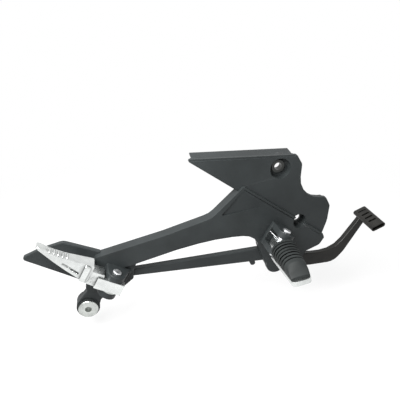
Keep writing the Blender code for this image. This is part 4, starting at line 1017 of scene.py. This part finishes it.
class HANGER_OT_studio(bpy.types.Operator):
    """Places the camera, lamps, white surround and pale floor"""

    bl_idname = "hanger.studio"
    bl_label = "Studio"

    def aimed(self, made, place, target):
        """Puts a camera or a lamp in its place and turns it to its target."""
        made.location = place
        made.rotation_euler = (target - place).to_track_quat("-Z", "Y").to_euler()
        bpy.context.scene.collection.objects.link(made)
        return made

    def lamp(self, name, power, size, place):
        """A square soft lamp that the camera doesn't see."""
        light = bpy.data.lights.new(name, "AREA")
        light.energy = power
        light.size = size
        made = self.aimed(bpy.data.objects.new(name, light), Vector(place), PHOTO_TARGET)
        made.visible_camera = False
        return made

    def surround(self, scene, strength):
        """A world that looks white and lights the object softly."""
        world = bpy.data.worlds.new("white_surround")
        scene.world = world
        world.use_nodes = True
        tree = world.node_tree
        light = tree.nodes["Background"]
        light.inputs["Color"].default_value = (1.0, 1.0, 1.0, 1.0)
        light.inputs["Strength"].default_value = strength
        white = tree.nodes.new("ShaderNodeBackground")
        white.inputs["Color"].default_value = (1.0, 1.0, 1.0, 1.0)
        surface = mixed(tree, seen_directly(tree), light.outputs[0], white.outputs[0])
        tree.links.new(surface, tree.nodes["World Output"].inputs["Surface"])

    def floor(self, studio, height):
        """A flat sheet of paper under the object."""
        mesh = bpy.data.meshes.new("studio_floor")
        half = studio.floor_size / 2
        mesh.from_pydata(
            [(-half, -half, height), (half, -half, height), (half, half, height), (-half, half, height)],
            [], [(0, 1, 2, 3)],
        )
        mesh.materials.append(white_paper(studio))
        linked("studio_floor", mesh)

    def execute(self, context):
        scene = context.scene
        studio = scene.hanger_studio
        scene.view_settings.view_transform = "Standard"
        camera = bpy.data.cameras.new("photo_camera")
        camera.lens = studio.lens
        flat = math.cos(studio.elevation) * studio.distance
        away = Vector((
            math.sin(studio.azimuth) * flat, -math.cos(studio.azimuth) * flat,
            math.sin(studio.elevation) * studio.distance,
        ))
        viewer = bpy.data.objects.new("photo_camera", camera)
        scene.camera = self.aimed(viewer, PHOTO_TARGET + away, PHOTO_TARGET)
        self.lamp("key_lamp", studio.key, studio.key_size, studio.key_place)
        self.lamp("fill_lamp", studio.fill, studio.fill_size, studio.fill_place)
        behind = self.lamp("back_lamp", studio.back, studio.back_size, studio.back_place)
        behind.visible_glossy = False
        self.surround(scene, studio.sky)
        self.floor(studio, CAD_BOX[0][2] - studio.floor_drop)
        return {"FINISHED"}


class HANGER_PT_panel(bpy.types.Panel):
    """Lists the hanger's pieces and settings"""

    bl_idname = "HANGER_PT_panel"
    bl_label = "Footrest Hanger"
    bl_space_type = "VIEW_3D"
    bl_region_type = "UI"
    bl_category = "Hanger"

    def draw(self, context):
        layout = self.layout
        for operator in PIECE_OPERATORS:
            layout.operator(operator.bl_idname)
        for name in SETTINGS:
            group = getattr(context.scene, name)
            column = layout.column(align=True)
            for key in type(group).__annotations__:
                column.prop(group, key)


SETTINGS = {
    "hanger_finishes": HangerFinishes,
    "hanger_rubber": HangerRubber,
    "hanger_springs": HangerSprings,
    "hanger_studio": HangerStudio,
}
PIECE_OPERATORS = (
    HANGER_OT_studio,
    HANGER_OT_casting,
    HANGER_OT_muffler_mount,
    HANGER_OT_rider_peg,
    HANGER_OT_pillion_peg,
    HANGER_OT_brake_pedal,
    HANGER_OT_fasteners,
    HANGER_OT_springs,
)


def register():
    for group in SETTINGS.values():
        bpy.utils.register_class(group)
    for name, group in SETTINGS.items():
        setattr(bpy.types.Scene, name, bpy.props.PointerProperty(type=group))
    for operator in PIECE_OPERATORS:
        bpy.utils.register_class(operator)
    bpy.utils.register_class(HANGER_PT_panel)


def unregister():
    bpy.utils.unregister_class(HANGER_PT_panel)
    for operator in reversed(PIECE_OPERATORS):
        bpy.utils.unregister_class(operator)
    for name, group in SETTINGS.items():
        delattr(bpy.types.Scene, name)
        bpy.utils.unregister_class(group)


def main():
    register()
    bpy.ops.hanger.studio()
    bpy.ops.hanger.casting()
    bpy.ops.hanger.muffler_mount()
    bpy.ops.hanger.rider_peg()
    bpy.ops.hanger.pillion_peg()
    bpy.ops.hanger.brake_pedal()
    bpy.ops.hanger.fasteners()
    bpy.ops.hanger.springs()


if __name__ == "__main__":
    main()
